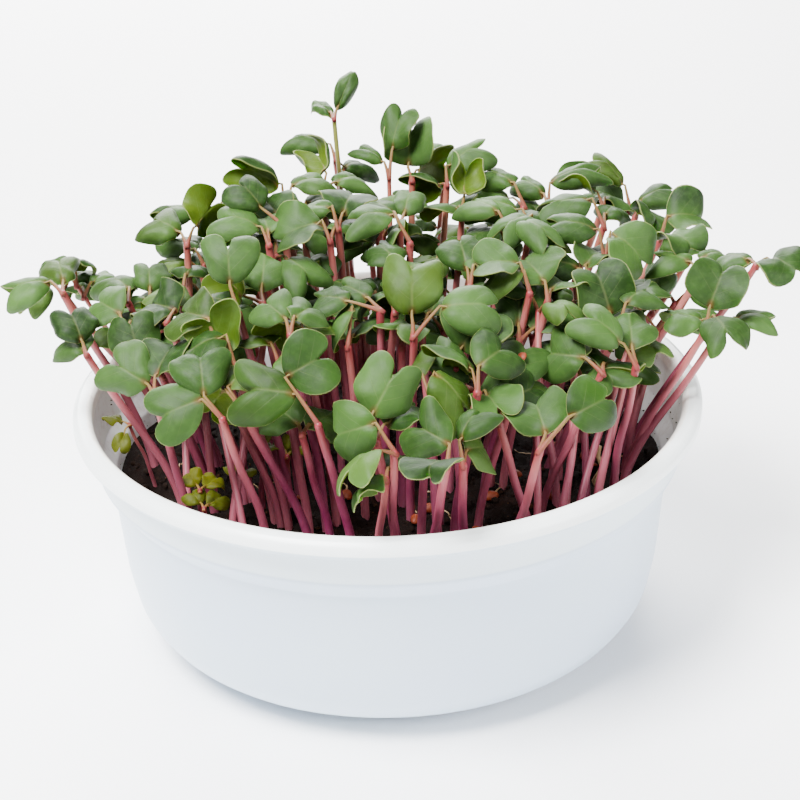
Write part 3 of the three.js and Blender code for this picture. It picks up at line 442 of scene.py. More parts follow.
def between(points, count):
    """count + 1 points evenly over a polyline's lengths, as its own parameter runs."""
    place = np.linspace(0, len(points) - 1, count + 1)
    start = np.minimum(np.floor(place).astype(int), len(points) - 2)
    return points[start] + (points[start + 1] - points[start]) * (place - start)[:, None]


def stem_probes(rings):
    return np.concatenate([
        between(np.array([root_end(rings[0]), rings[0]]), ROOT_PROBES),
        between(rings, STEM_STEPS * PROBES_PER_LENGTH),
    ])


def clear_of_bowl(points, margin):
    return all(z < soil_height(x, y) or z > RIM_HEIGHT + margin
               or math.hypot(x, y) < inner_radius(z) - margin for x, y, z in points)


# ---- room ----
class Room:
    """What is planted so far, with each point's owner."""

    def __init__(self):
        self.points = []
        self.owners = []
        self.tree = None

    def remember(self, points, owner):
        self.points.extend(points)
        self.owners.extend([owner] * len(points))
        self.tree = kdtree.KDTree(len(self.points))
        for i, point in enumerate(self.points):
            self.tree.insert(point, i)
        self.tree.balance()

    def is_clear(self, points, clear, allowed=None):
        return self.tree is None or all(
            self.owners[i] == allowed
            for point in points for _, i, _ in self.tree.find_range(point, clear))


room = Room()
planted = []


def moved_head(head, shift):
    blades = [dict(blade, base=blade["base"] + shift) for blade in head["blades"]]
    return dict(head, crown=head["crown"] + shift, blades=blades)


def rooted(row, head, allowed=None, clear=CLEAR):
    """A root from which a clear stem reaches the head, or nothing."""
    probes = head_probes(head)
    if not clear_of_bowl(probes, LEAF_MARGIN) or not room.is_clear(probes, clear, allowed):
        return None
    for attempt in range(ROOT_TRIES):
        root = root_under(row, head["crown"], attempt)
        bends = bends_of(root, head["crown"])
        stem = stem_probes(bezier(bends, np.linspace(0, 1, STEM_STEPS + 1)))
        below = stem[np.linalg.norm(stem - head["crown"], axis=1) > OWN_REACH]
        nearest = np.linalg.norm(below[:, None] - probes[None], axis=2).min()
        if nearest > clear and clear_of_bowl(stem, STEM_MARGIN) and room.is_clear(stem, clear):
            return dict(head=head, probes=probes, root=root, bends=bends, stem=stem)
    return None


SLIDE_STEP = 1.5
SLIDE_TRIES = 17
JOIN_TRIES = 60
JOIN_SIDEWAYS = 1.6
JOIN_DEPTH = 14
JOIN_REACH = 45
JOIN_SIDE_COST = 4


def plant_free(row, head, sight, clear=CLEAR, step_length=SLIDE_STEP, tries=SLIDE_TRIES):
    for attempt in range(tries):
        steps = (attempt + 1) / 2 if attempt % 2 else -attempt / 2
        found = rooted(row, moved_head(head, sight * (steps * step_length)), None, clear)
        if found:
            return found
    return None


def plant_joined(row, head, sight):
    own = head_probes(head)
    costs, shifts, owners = [], [], []
    for host in planted:
        full = sum(sprout["owner"] == host["owner"] for sprout in planted) >= HEADS_PER_NODE
        if np.linalg.norm(host["head"]["crown"] - head["crown"]) > JOIN_REACH or full:
            continue
        shift = (host["probes"][:, None] - own[None]).reshape(-1, 3)
        depth = shift @ sight
        sideways = np.linalg.norm(shift - depth[:, None] * sight, axis=1)
        near = (sideways < JOIN_SIDEWAYS) & (np.abs(depth) < JOIN_DEPTH)
        costs.extend(np.abs(depth[near]) + JOIN_SIDE_COST * sideways[near])
        shifts.extend(shift[near])
        owners.extend([host["owner"]] * int(near.sum()))
    for i in np.argsort(costs, kind="stable")[:JOIN_TRIES]:
        found = rooted(row, moved_head(head, shifts[i]), owners[i])
        if found:
            return dict(found, owner=owners[i])
    return None


FILL_PLACES = 160
FILL_TRIES = 12
FILL_DROP = 1.8
FILL_RADIUS = 60
FILL_FRONT = 4
FILL_LIFT = 0.35
FILL_STALK_LIFT = 1.1


def fill_head(crown, random, size=1.0, lift=FILL_LIFT):
    size *= lerp(*SIZE_RANGE, random())
    turn = any_turn(random)
    blades = []
    for way in (turn, turn + math.pi):
        along = unit(vec(*around(1, way), lift))
        stalk = unit(vec(*around(1, way), FILL_STALK_LIFT)) * STALK_LENGTH * size
        normal = square_to(vec(0, 0, 1), along)
        blades.append(dict(
            base=crown + stalk, along=along, normal=normal, across=np.cross(along, normal),
            length=BLADE_LENGTH * size, slim=1,
            droop=lerp(*DROOP_RANGE, random()), roll=lerp(*ROLL_RANGE, random()),
        ))
    return dict(crown=crown, blades=blades, radius=STEM_RADIUS)


def barest_place(tried):
    best, widest = None, -1
    for i in range(FILL_PLACES):
        x, y = around(FILL_RADIUS * math.sqrt((i + 0.5) / FILL_PLACES), SPIRAL_TURN * i)
        if y < FILL_FRONT or i in tried:
            continue
        gap = min(math.hypot(s["head"]["crown"][0] - x, s["head"]["crown"][1] - y) for s in planted)
        if gap > widest:
            best, widest = (i, x, y), gap
    return best


def plant_fill(x, y, random):
    for attempt in range(FILL_TRIES):
        crown = vec(x, y, canopy_height(x, y) - FILL_DROP * attempt)
        found = rooted({}, fill_head(crown, random))
        if found:
            return found
    return None


def keep(found, owner):
    found["owner"] = owner
    planted.append(found)
    room.remember(found["probes"], owner)
    room.remember(found["stem"], "stem")


def plant_solids():
    """The sprouts that the solids have, in the same order; returns the rows left over."""
    random = seeded(20260)
    tried = set()
    nodes = 0
    rows = []
    left = []
    for row in SPROUT_ROWS:
        line = sight_line(*row["at"])
        crown = on_depth(line, row["y"]) if "y" in row else on_canopy(line, row.get("low", 0))
        rows.append((row, head_of(row, crown, random), unit(line)))
    for sprout in rows:
        while LEAF_NODES - BACK_SPROUTS <= nodes < LEAF_NODES:
            place = barest_place(tried)
            if place is None:
                break
            tried.add(place[0])
            found = plant_fill(*place[1:], random)
            if found:
                keep(found, nodes)
                nodes += 1
        if len(planted) >= SPROUTS:
            left.append(sprout)
            continue
        alone = plant_free(*sprout) if nodes < LEAF_NODES else None
        found = alone or plant_joined(*sprout)
        if not found:
            left.append(sprout)
        elif alone:
            keep(found, nodes)
            nodes += 1
        else:
            keep(found, found["owner"])
    return left


# ---- more sprouts between them ----
FINE_CLEAR = 0.8
LEAST_CLEAR = 0.45
FINE_STEP = 0.8
FINE_TRIES = 9
EXTRA_SEED = 411
EXTRA_TRIES = 25  # places drawn for each sprout that is wanted
LEANING_TRIES = 30
COMPANIONS = 100
COMPANION_BACK = (4, 14)
COMPANION_SIDE = 8
COMPANION_LOW = (1, 9)
COMPANION_SIZE = 0.94
HOSTS_FRONT = 25
FAR_SHARE = 0.3
UNDERGROWTH = 44
UNDER_RADIUS = 58
UNDER_LOW = (9, 26)
UNDER_FRONT = -8
UNDER_SIZE = (0.62, 0.9)
LEANING = 26
LEANING_ACROSS = (150, 640)
LEANING_SHEET = (290, 368)
LEANING_LOW = (3, 12)
LEANING_FEET = (30, 54)
LEANING_SIZE = 0.85
LEAF_LIFT = 0.6
UNDER_LIFT = 0.7
OPEN_SHEET = 376  # below this the sheet shows stems, and no leaves but those of its own rows
SIDE_SHEET = 315
SIDE_LIMITS = (95, 672)
FOOT_SPREAD = 60
FOOT_FORWARD = (8, 36)
FRONT_HALF = 14
EDGE_SEED = 5
EDGEWISE = {  # leaves that the sheet shows thin, seen along their blades
    (386, 478): dict(a=(404, 456, -0.1, 388, 468), b=(357, 491, -0.45, 380, 474), size=0.8),
}
# small pale seedlings that the sheet shows low at the near edge
DWARFS = [
    dict(at=(200, 490), a=(188, 474, 0.7, 196, 485), b=(214, 480, 0.5, 204, 486), y=-38, size=0.4),
    dict(at=(204, 508), a=(190, 494, 0.4, 200, 503), b=(219, 498, 0.6, 208, 504), y=-41, size=0.42),
    dict(at=(238, 480), a=(233, 466, 0.6, 236, 475), b=(246, 470, 0.3, 240, 476), y=-32, size=0.34),
    dict(at=(262, 452), a=(258, 436, 0.8, 261, 447), b=(270, 446, 0.3, 265, 449), y=-28, size=0.38),
    dict(at=(287, 456), a=(281, 440, 0.7, 285, 450), b=(297, 447, 0.4, 290, 452), y=-27, size=0.38),
    dict(at=(129, 424), a=(107, 417, -0.2, 121, 421), b=(122, 447, 0.3, 126, 431), y=-11, size=0.6,
         slim=0.65),
]


def plant_near(row, head, sight, clears, owner):
    """A sprout of the scene alone, as near its own place as it fits."""
    for clear in clears:
        found = plant_free(row, head, sight, clear, FINE_STEP, FINE_TRIES)
        if found:
            keep(found, owner)
            break


def plant_dwarfs(random):
    for row in DWARFS:
        sight = sight_line(*row["at"])
        head = head_of(row, on_depth(sight, row["y"]), random)
        plant_near(dict(row, foot=row["at"][0]), head, unit(sight), (LEAST_CLEAR,), "pale")


def plant_left_over(rows):
    for row, head, sight in rows:
        if row["at"] in EDGEWISE:
            row = dict(row, **EDGEWISE[row["at"]])
            head = head_of(row, head["crown"], seeded(EDGE_SEED))
        plant_near(row, head, sight, (FINE_CLEAR, LEAST_CLEAR), "fine")


def hangs_low(head):
    """Whether a head would hang into the open front, or stick out past the stand's low sides."""
    for blade in head["blades"]:
        u, v = sheet_place(blade["base"] + blade["along"] * blade["length"])
        if v > OPEN_SHEET or v > SIDE_SHEET and not SIDE_LIMITS[0] < u < SIDE_LIMITS[1]:
            return True
    return False


def leaning(random):
    """A sprout rooted at the near edge that leans back to a head inside the stand."""
    u = lerp(*LEANING_ACROSS, random())
    crown = on_canopy(sight_line(u, lerp(*LEANING_SHEET, random())), lerp(*LEANING_LOW, random()))
    head = fill_head(crown, random, LEANING_SIZE, LEAF_LIFT * random())
    if hangs_low(head):
        return None
    row = {"foot": u + FOOT_SPREAD * (random() - 0.5), "depth": -lerp(*LEANING_FEET, random())}
    return rooted(row, head, None, FINE_CLEAR)


def companion(random):
    """A sprout close behind one in front, mostly hidden by its leaves."""
    host = hosts[int(random() * len(hosts))]
    crown = host + vec(COMPANION_SIDE * (2 * random() - 1), lerp(*COMPANION_BACK, random()),
                       -lerp(*COMPANION_LOW, random()))
    head = fill_head(crown, random, COMPANION_SIZE, LEAF_LIFT * random())
    u, v = sheet_place(crown)
    if hangs_low(head) or v < FAR_SHEET and random() > FAR_SHARE:
        return None
    row = {}
    if crown[1] < FRONT_HALF:
        row["foot"] = u + FOOT_SPREAD * (random() - 0.5)
        row["depth"] = crown[1] - lerp(*FOOT_FORWARD, random())
    return rooted(row, head, None, FINE_CLEAR)


def undergrowth(random):
    """A shorter sprout inside the stand, down among the stems."""
    x, y = anywhere(UNDER_RADIUS, random)
    low = lerp(*UNDER_LOW, random())
    if y < UNDER_FRONT:
        return None
    crown = vec(x, y, canopy_height(x, y) - low)
    head = fill_head(crown, random, lerp(*UNDER_SIZE, random()), UNDER_LIFT * random())
    return None if hangs_low(head) else rooted({}, head, None, FINE_CLEAR)


def plant_many(draw_sprout, count, tries, random):
    """Draws sprouts of one kind until enough of them have found room."""
    made = 0
    for _ in range(count * tries):
        found = draw_sprout(random)
        if found:
            keep(found, "fine")
            made += 1
        if made == count:
            break


left_over = plant_solids()
extra_random = seeded(EXTRA_SEED)
plant_dwarfs(extra_random)
plant_left_over(left_over)
plant_many(leaning, LEANING, LEANING_TRIES, extra_random)
hosts = [sprout["head"]["crown"] for sprout in planted if sprout["head"]["crown"][1] < HOSTS_FRONT]
plant_many(companion, COMPANIONS, EXTRA_TRIES, extra_random)
plant_many(undergrowth, UNDERGROWTH, EXTRA_TRIES, extra_random)


def sprouts_of(*owners):
    """Sprouts by owner: the number of a leaf node, or "fine" or "pale" for the scene's own."""
    return [sprout for sprout in planted if sprout["owner"] in owners]


# ---- building meshes ----
MM = 0.001


class Builder:
    """Collects points and faces in millimetres, with two four-part notes on each point.

    mark says where in its form a point lies, in parts that each material names. place says where on
    the flat leaf: along it from the foot, across it from the midrib, and how yellow the leaf is.
    """

    def __init__(self):
        self.points = []
        self.marks = []
        self.places = []
        self.faces = []
        self.count = 0

    def add(self, points, faces, marks, places=(0, 0, 0, 0)):
        self.points.append(points)
        self.marks.append(np.broadcast_to(marks, (len(points), 4)))
        self.places.append(np.broadcast_to(places, (len(points), 4)))
        self.faces.extend(tuple(i + self.count for i in face) for face in faces)
        self.count += len(points)

    def piece(self, name, material, replaced=()):
        mesh = bpy.data.meshes.new(name)
        mesh.from_pydata(np.concatenate(self.points) * MM, [], self.faces)
        for note, values in (("mark", self.marks), ("place", self.places)):
            layer = mesh.attributes.new(note, "FLOAT_COLOR", "POINT")
            layer.data.foreach_set("color", np.concatenate(values).astype(np.float32).ravel())
        mesh.polygons.foreach_set("use_smooth", [True] * len(mesh.polygons))
        mesh.materials.append(material)
        mesh.update()
        made = bpy.data.objects.new(name, mesh)
        bpy.context.scene.collection.objects.link(made)
        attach(made, "root")
        if replaced:
            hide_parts(*replaced)


def notes(count, *values):
    """Four values for each of count points, from numbers or arrays."""
    return np.stack([np.broadcast_to(value, count) for value in values], axis=1)


def flipped(faces):
    return [face[::-1] for face in faces]


def band(low, high, count):
    """Faces between two closed rings of points, from where each ring starts."""
    steps = [(i, (i + 1) % count) for i in range(count)]
    return [(low + i, low + j, high + j, high + i) for i, j in steps]


def fan(middle, ring, count):
    return [(middle, ring + i, ring + (i + 1) % count) for i in range(count)]


def skin(rings, first, last):
    """A closed skin over rings of points, with a middle point at either end."""
    count, ends = len(rings[0]), len(rings) * len(rings[0])
    faces = flipped(fan(ends, 0, count)) + fan(ends + 1, ends - count, count)
    for start in range(0, ends - count, count):
        faces += band(start, start + count, count)
    return np.concatenate([*rings, [first], [last]]), faces


def level_ring(radius, turns, height):
    return np.stack([radius * np.cos(turns), radius * np.sin(turns),
                     np.broadcast_to(height, len(turns))], axis=1)


def round_turns(count):
    return 2 * np.pi * np.arange(count) / count


def tube(builder, path, radii, marks, sides=8, flat=None):
    """A closed round tube; flat is a direction and how thin each point's ring is along it."""
    path = np.asarray(path)
    ahead = np.gradient(path, axis=0)
    ahead /= np.linalg.norm(ahead, axis=1, keepdims=True)
    if flat:
        upwards, thin = flat
        second = np.array([square_to(upwards, way) for way in ahead])
        first = np.cross(second, ahead)
    else:
        side = vec(1, 0, 0) if abs(ahead[0][0]) < 0.8 else vec(0, 1, 0)
        first = []
        for way in ahead:
            side = square_to(side, way)
            first.append(side)
        second, thin = np.cross(ahead, first), np.ones(len(path))
    turns = round_turns(sides)
    rings = [middle + radius * (np.outer(np.cos(turns), a) + np.outer(np.sin(turns), share * b))
             for middle, radius, a, b, share in zip(path, radii, first, second, thin)]
    marks = np.broadcast_to(marks, (len(path), 4))
    builder.add(*skin(rings, path[0], path[-1]),
                np.concatenate([np.repeat(marks, sides, axis=0), marks[:1], marks[-1:]]))


def smooth_loop(corners, cuts):
    """A closed Catmull-Rom curve through the corners, with some points between each two."""
    corners = np.array(corners)
    out = []
    for i in range(len(corners)):
        p0, p1, p2, p3 = (corners[(i + k) % len(corners)] for k in (-1, 0, 1, 2))
        for t in np.arange(cuts) / cuts:
            out.append(0.5 * (2 * p1 + (p2 - p0) * t + (2 * p0 - 5 * p1 + 4 * p2 - p3) * t * t
                              + (3 * p1 - p0 - 3 * p2 + p3) * t ** 3))
    return np.array(out)


# ---- seed leaves ----
FINE_HALF = [
    (0.0, 0.06), (0.035, 0.19), (0.12, 0.36), (0.27, 0.52), (0.46, 0.62), (0.66, 0.655),
    (0.84, 0.61), (0.97, 0.48), (1.035, 0.33), (1.0, 0.18), (0.9, 0.07),
]
NOTCH_RANGE = (0.68, 0.84)
SLIMMEST = 0.6
SLIM_TIP = [(0.84, 0.61), (0.98, 0.42), (1.06, 0.18)]  # the slimmest leaves end almost whole
SLIM_NOTCH = 1.05
LOPSIDED = 0.12
OUTLINE_CUTS = 2
LEAF_RINGS = (1.0, 0.975, 0.9, 0.76, 0.58, 0.38, 0.18)
LEAF_THICK = 0.62
EDGE_THICK = 0.26
FULL_LENGTH = 9  # shorter leaves curl and wave less
WAVES = (0.5, 1.3)  # how far the rim of a leaf waves up and down
RIM_WAVES = (3, 5)
SECOND_WAVE = 0.6
STEADY_FOOT = (0.25, 2.5)  # the waves grow along the leaf, from its foot
DIMPLES = 0.16
DIMPLE_WAVES = (9, 8)
CREASE = (0.225, 0.9375)
CREASE_WIDE = 0.1
CREASE_END = 1.15
CREASE_MIDDLE = 0.6
SIDE_VEINS = 3
SIDE_VEIN_DEEP = 0.07
SIDE_VEIN_SLANT = 0.8
ROLLS = (1.25, 2.1)  # finer leaves roll down more than the solids do, the far ones most
ROLL_DEPTHS = (-25, 35)
EDGE_ROLL = (0.35, 1.5)
EDGE_ROLL_FAR = (0.7, 1.2)
EDGE_ROLL_START = 0.55
FINE_WIDTH = 0.96
STALK_BOW = 0.4
STALK_BEND = 0.2
FORK_LOW = 1.2
STALK_SIZE = 0.7
STALK_POINTS = 6
MIDRIB = (0.1, 0.24, 0.42, 0.5)
MIDRIB_LIFT = -0.2
STALK_RING = 0.3  # the stalk takes the look of this ring of the leaf's underside
# from the fork to the end of the midrib: radius, how thin, and how far it has the stalk's colour
STALK_RADII = (0.86, 0.83, 0.74, 0.64, 0.56, 0.5, 0.4, 0.32, 0.22, 0.1)
STALK_FLAT = (1.0, 0.95, 0.86, 0.78, 0.74, 0.7, 0.6, 0.55, 0.5, 0.5)
STALK_SHARES = (1.0, 0.95, 0.86, 0.74, 0.6, 0.46, 0.32, 0.2, 0.12, 0.06)


def fine_leaf(builder, blade, head, random, stalk_size):
    """One leaf: a two-sided sheet bent as the solid is, and a stalk that runs on as its midrib."""
    notch = lerp(*NOTCH_RANGE, random())
    half = FINE_HALF
    if blade["slim"] < SLIMMEST:
        notch = SLIM_NOTCH
        half = FINE_HALF[:6] + SLIM_TIP
    corners = half + [(notch, 0)] + [(x, -y) for x, y in reversed(half)]
    lopsided = 1 + LOPSIDED * (random() - 0.5)
    loop = smooth_loop([(x, y * (lopsided if y > 0 else 1 / lopsided)) for x, y in corners],
                       OUTLINE_CUTS)
    phase = [any_turn(random) for _ in range(4)]
    tint, yellow = random(), random()
    length = blade["length"]
    width = length * FINE_WIDTH * blade["slim"]
    far = share_of(ROLL_DEPTHS, blade["base"][1])
    small = min(1, length / FULL_LENGTH)
    blade = dict(blade, roll=blade["roll"] * lerp(*ROLLS, far))
    edge_roll = lerp(*EDGE_ROLL, random()) * lerp(*EDGE_ROLL_FAR, far) * small
    crease = lerp(*CREASE, random())
    height = lerp(*WAVES, phase[3] / (2 * math.pi)) * small
    count = len(loop)
    turn = np.arctan2(loop[:, 1], loop[:, 0] - BLADE_MIDDLE)

    rings, marks, places = [], [], []
    for side, ring in [(-1, r) for r in reversed(LEAF_RINGS)] + [(1, r) for r in LEAF_RINGS]:
        x = BLADE_MIDDLE + ring * (loop[:, 0] - BLADE_MIDDLE)
        y = ring * loop[:, 1]
        wave = (np.sin(RIM_WAVES[0] * turn + phase[0])
                + SECOND_WAVE * np.sin(RIM_WAVES[1] * turn + phase[1]))
        wave *= height * ring ** 3 * np.clip(STEADY_FOOT[0] + STEADY_FOOT[1] * x, 0, 1)
        wave += (DIMPLES * np.sin(DIMPLE_WAVES[0] * x + phase[2])
                 * np.sin(DIMPLE_WAVES[1] * y + phase[3]))
        groove = -crease * np.exp(-((y / CREASE_WIDE) ** 2)) * np.clip(CREASE_END - x / notch, 0, 1)
        slant = x - SIDE_VEIN_SLANT * np.abs(y)
        groove -= SIDE_VEIN_DEEP * np.sin(SIDE_VEINS * 2 * np.pi * slant) * ring
        thick = EDGE_THICK + (LEAF_THICK - EDGE_THICK) * (1 - ring ** 5)
        curled = edge_roll * max(0, (ring - EDGE_ROLL_START) / (1 - EDGE_ROLL_START)) ** 2
        lift = wave + groove - curled + side * thick / 2
        rings.append(blade_point(blade, x * length, y * width, lift))
        marks.append(notes(count, ring, tint, side < 0, 0))
        places.append(notes(count, x, y, yellow, 0))
    ends = [blade_point(blade, BLADE_MIDDLE * length, 0, face - CREASE_MIDDLE * crease)
            for face in (-LEAF_THICK / 2, LEAF_THICK / 2)]
    marks.append([(0, tint, 1, 0), (0, tint, 0, 0)])
    places.append([(BLADE_MIDDLE, 0, yellow, 0)] * 2)
    builder.add(*skin(rings, *ends), np.concatenate(marks), np.concatenate(places))

    base, crown = blade["base"], head["crown"]
    upwards = unit(sum(other["base"] for other in head["blades"]) / 2 - crown + vec(0, 0, 1))
    low = crown - upwards * FORK_LOW * stalk_size
    pull = lerp(crown, base, STALK_BEND) + upwards * STALK_BOW
    shares = np.linspace(0, 1, STALK_POINTS)[:, None]
    stalk = (1 - shares) ** 2 * low + 2 * (1 - shares) * shares * pull + shares ** 2 * base
    rib_x = np.array(MIDRIB)
    rib = blade_point(blade, rib_x * length, 0 * rib_x, MIDRIB_LIFT - crease * (1 - rib_x))
    radii = np.array(STALK_RADII) * STALK_SIZE * stalk_size
    tube(builder, np.concatenate([stalk, rib]), radii,
         notes(len(radii), STALK_RING, tint, 1, STALK_SHARES), flat=(blade["normal"], STALK_FLAT))


def leaf_piece(name, sprouts, material, replaced=(), stalk_size=1.0):
    """The heads of some sprouts; their small variations are drawn from the piece's own name."""
    builder = Builder()
    random = seeded(sum(ord(letter) * (i + 7) for i, letter in enumerate(name)))
    for sprout in sprouts:
        for blade in sprout["head"]["blades"]:
            fine_leaf(builder, blade, sprout["head"], random, stalk_size)
    builder.piece(name, material, replaced)


# ---- fine stems ----
STEM_CUTS = 14
STEM_FOOT = 1.06
STEM_TOP = 0.86
STEM_SIZES = (0.92, 1.08)
SWAY = 0.35
SWAY_TURN = 2.5 * math.pi
ROOT_SHARES = (0.0, 0.45, 0.85)
ROOT_RADII = [0.4, 0.7, 0.95]
FORK_REACH = (0.7, 0.4)  # below and above the joint of the two leaf stalks
FORK_RADII = [0.9, 0.8, 0.4]
FORK_TINT = (0.9, 1.025)
GREEN_STEM = 2
PALE_DEPTHS = (-25, 30)  # stems farther back in the stand are paler and more tan


def fine_stem(builder, sprout, random, size=1.0):
    """From the root mat through the soil and up to the fork of the two leaf stalks."""
    root, crown = sprout["root"], sprout["head"]["crown"]
    shares = np.linspace(0, 1, STEM_CUTS)
    curve = bezier(sprout["bends"], shares)
    tint = random()
    bend = [any_turn(random) for _ in range(2)]
    sway = SWAY * np.sin(np.pi * shares) * np.sin(SWAY_TURN * shares + bend[0])
    curve = curve + sway[:, None] * vec(*around(1, bend[1]), 0)
    end = root_end(root)
    taper = [lerp(end, root, share) for share in ROOT_SHARES]
    upwards = unit(crown - root)
    below, above = FORK_REACH
    path = np.concatenate([taper, curve, [crown - upwards * below, crown, crown + upwards * above]])
    thick = lerp(*STEM_SIZES, random()) * size * sprout["head"]["radius"]
    radii = np.concatenate([ROOT_RADII, lerp(STEM_FOOT, STEM_TOP, shares), FORK_RADII]) * thick
    heights = np.concatenate([[0, 0, 0], shares, [1, 1, 1]])
    fork = [share_of(FORK_TINT, height) for height in heights]
    fork[-3:] = 1, 1, 1
    slim = sprout["head"]["blades"][0]["slim"] < SLIMMEST
    far = GREEN_STEM if slim else share_of(PALE_DEPTHS, crown[1])
    tube(builder, path, radii, notes(len(path), heights, tint, fork, far))


def mat_plate(builder, sector):
    """The thin mat of roots under one sixth of the soil."""
    width = 2 * math.pi / STEM_NODES
    start = sector * width
    rim = [around(MAT_RADIUS, turn) for turn in start + width * np.linspace(0, 1, 7)]
    shift = np.array(around(2 * GAP, start + width / 2))
    outline = [np.array(p) + shift for p in [(0, 0)] + rim]
    count = len(outline)
    points = [vec(*p, z) for z in (MAT_FLOOR, MAT_FLOOR + MAT_THICK) for p in outline]
    faces = [tuple(reversed(range(count))), tuple(range(count, 2 * count))] + band(0, count, count)
    builder.add(points, faces, (0, 0.5, 0, 0))


# ---- smooth bowl ----
BOWL_SIDES = 160
FILLET = 0.5
LOW_FILLET = 4  # times as wide on the corners of the lower half
FILLET_SHARE = 0.45  # at most, of the length to the next corner
FILLET_CUTS = 3
WALL_SKIN = 0.3  # points this near the inner wall, and above its foot, have its colour
WALL_SKIN_FOOT = 1


def rounded(profile):
    """The profile with each corner rounded off."""
    profile = [np.array(p, dtype=float) for p in profile]
    out = [profile[0]]
    for before, corner, after in zip(profile, profile[1:], profile[2:]):
        room_for = FILLET_SHARE * min(np.linalg.norm(before - corner), np.linalg.norm(after - corner))
        reach = min(FILLET * (LOW_FILLET if corner[1] < RIM_HEIGHT / 2 else 1), room_for)
        first = corner + unit(before - corner) * reach
        last = corner + unit(after - corner) * reach
        for share in np.linspace(0, 1, FILLET_CUTS + 1):
            out.append((1 - share) ** 2 * first + 2 * share * (1 - share) * corner
                       + share ** 2 * last)
    return out + [profile[-1]]


def bowl_piece():
    profile = rounded(BOWL_OUTSIDE + BOWL_INSIDE)
    turns = round_turns(BOWL_SIDES)
    points, faces = skin([level_ring(r, turns, z) for r, z in profile[1:-1]],
                         (0, 0, profile[0][1]), (0, 0, profile[-1][1]))
    inside = [math.hypot(x, y) < inner_radius(min(z, RIM_HEIGHT)) + WALL_SKIN
              and z > WALL_SKIN_FOOT for x, y, z in points]
    builder = Builder()
    builder.add(points, faces, notes(len(points), inside, 0, 0, 0))
    builder.piece("bowl_shell", bowl_material, ("bowl",))


# ---- soil ----
SOIL_TURNS = 150
SOIL_STEPS = 52
SOIL_FLOOR = MAT_FLOOR + MAT_THICK + GAP
SOIL_SIDE_HEIGHTS = (8, 12, 21, 32, 37)
LUMP = 0.55
CRUMBS = 2600
CRUMB_SIZE = (0.22, 1.15)
CRUMB_STRETCH = ((0.6, 1.3), (0.6, 1.3), (0.45, 0.9))
CRUMB_CORNERS = (0.75, 1.2)
CRUMB_LIFT = 0.3
WALL_CRUMBS = 420
WALL_CRUMB_SIZE = (0.12, 0.42)
WALL_CRUMB_HEIGHTS = (SOIL_LEVEL - 0.5, 57)
WALL_CRUMB_GAP = 0.15
CRUMB_SEED = 77


def lumps(x, y):
    """Small uneven relief of the soil's surface."""
    return LUMP * (np.sin(0.9 * x + 1.7 * np.sin(0.5 * y)) * np.cos(1.1 * y + 1.3 * np.sin(0.7 * x))
                   + 0.6 * np.sin(2.3 * x + 0.8 * y) * np.sin(1.9 * y - 1.1 * x)
                   + 0.4 * np.sin(4.7 * x) * np.cos(4.1 * y + 0.6 * x))


def surface(x, y):
    return soil_height(x, y) + lumps(x, y)


def soil_piece():
    turns = round_turns(SOIL_TURNS)
    rings = [level_ring(inner_radius(z) - GAP, turns, z) for z in (SOIL_FLOOR, *SOIL_SIDE_HEIGHTS)]
    for k in range(SOIL_STEPS):
        ring = level_ring((inner_radius(SOIL_LEVEL) - 0.1) * (1 - k / SOIL_STEPS), turns, 0)
        x, y = ring[:, 0], ring[:, 1]
        ring[:, 2] = soil_height(x, y) + lumps(x, y) * min(1, k / 2)
        rings.append(ring)
    builder = Builder()
    builder.add(*skin(rings, (0, 0, SOIL_FLOOR), (0, 0, surface(0, 0))), (0, 0, 0, 0))
    builder.piece("soil_bed", soil_material, ("soil",))


# a ball of 20 triangles: its top, two rings of five corners, and its underside
BALL_HEIGHT = 1 / math.sqrt(5)
ball = [vec(0, 0, 1)]
for start, height in ((0, BALL_HEIGHT), (36, -BALL_HEIGHT)):
    ball += [vec(*around(2 * BALL_HEIGHT, math.radians(start + 72 * i)), height) for i in range(5)]
ball.append(vec(0, 0, -1))
ball_faces = fan(0, 1, 5) + flipped(fan(11, 6, 5))
for i in range(5):
    j = (i + 1) % 5
    ball_faces += [(1 + i, 6 + i, 1 + j), (6 + i, 6 + j, 1 + j)]


def crumb(builder, middle, size, random, mark):
    stretch = np.array([lerp(*limits, random()) for limits in CRUMB_STRETCH])
    c, s = around(1, any_turn(random))
    points = []
    for corner in ball:
        x, y, z = corner * stretch * size * lerp(*CRUMB_CORNERS, random())
        points.append(middle + vec(c * x - s * y, s * x + c * y, z))
    builder.add(points, ball_faces, mark)


def crumbs_piece():
    """Crumbs strewn over the soil, and finer ones that stick to the wall above it."""
    random = seeded(CRUMB_SEED)
    builder = Builder()
    widest = inner_radius(SOIL_LEVEL + 1) - 0.8
    for _ in range(CRUMBS):
        x, y = anywhere(widest, random)
        size = lerp(*CRUMB_SIZE, random() ** 3)
        middle = vec(x, y, surface(x, y) + CRUMB_LIFT * size)
        crumb(builder, middle, size, random, (random(), 0, 0, 0))
    for _ in range(WALL_CRUMBS):
        turn = any_turn(random)
        z = lerp(*WALL_CRUMB_HEIGHTS, random() ** 2.4)
        size = lerp(*WALL_CRUMB_SIZE, random() ** 2)
        middle = vec(*around(inner_radius(z) - WALL_CRUMB_GAP, turn), z)
        crumb(builder, middle, size, random, (random(), 0, 0, 0))
    builder.piece("soil_crumbs", crumb_material)


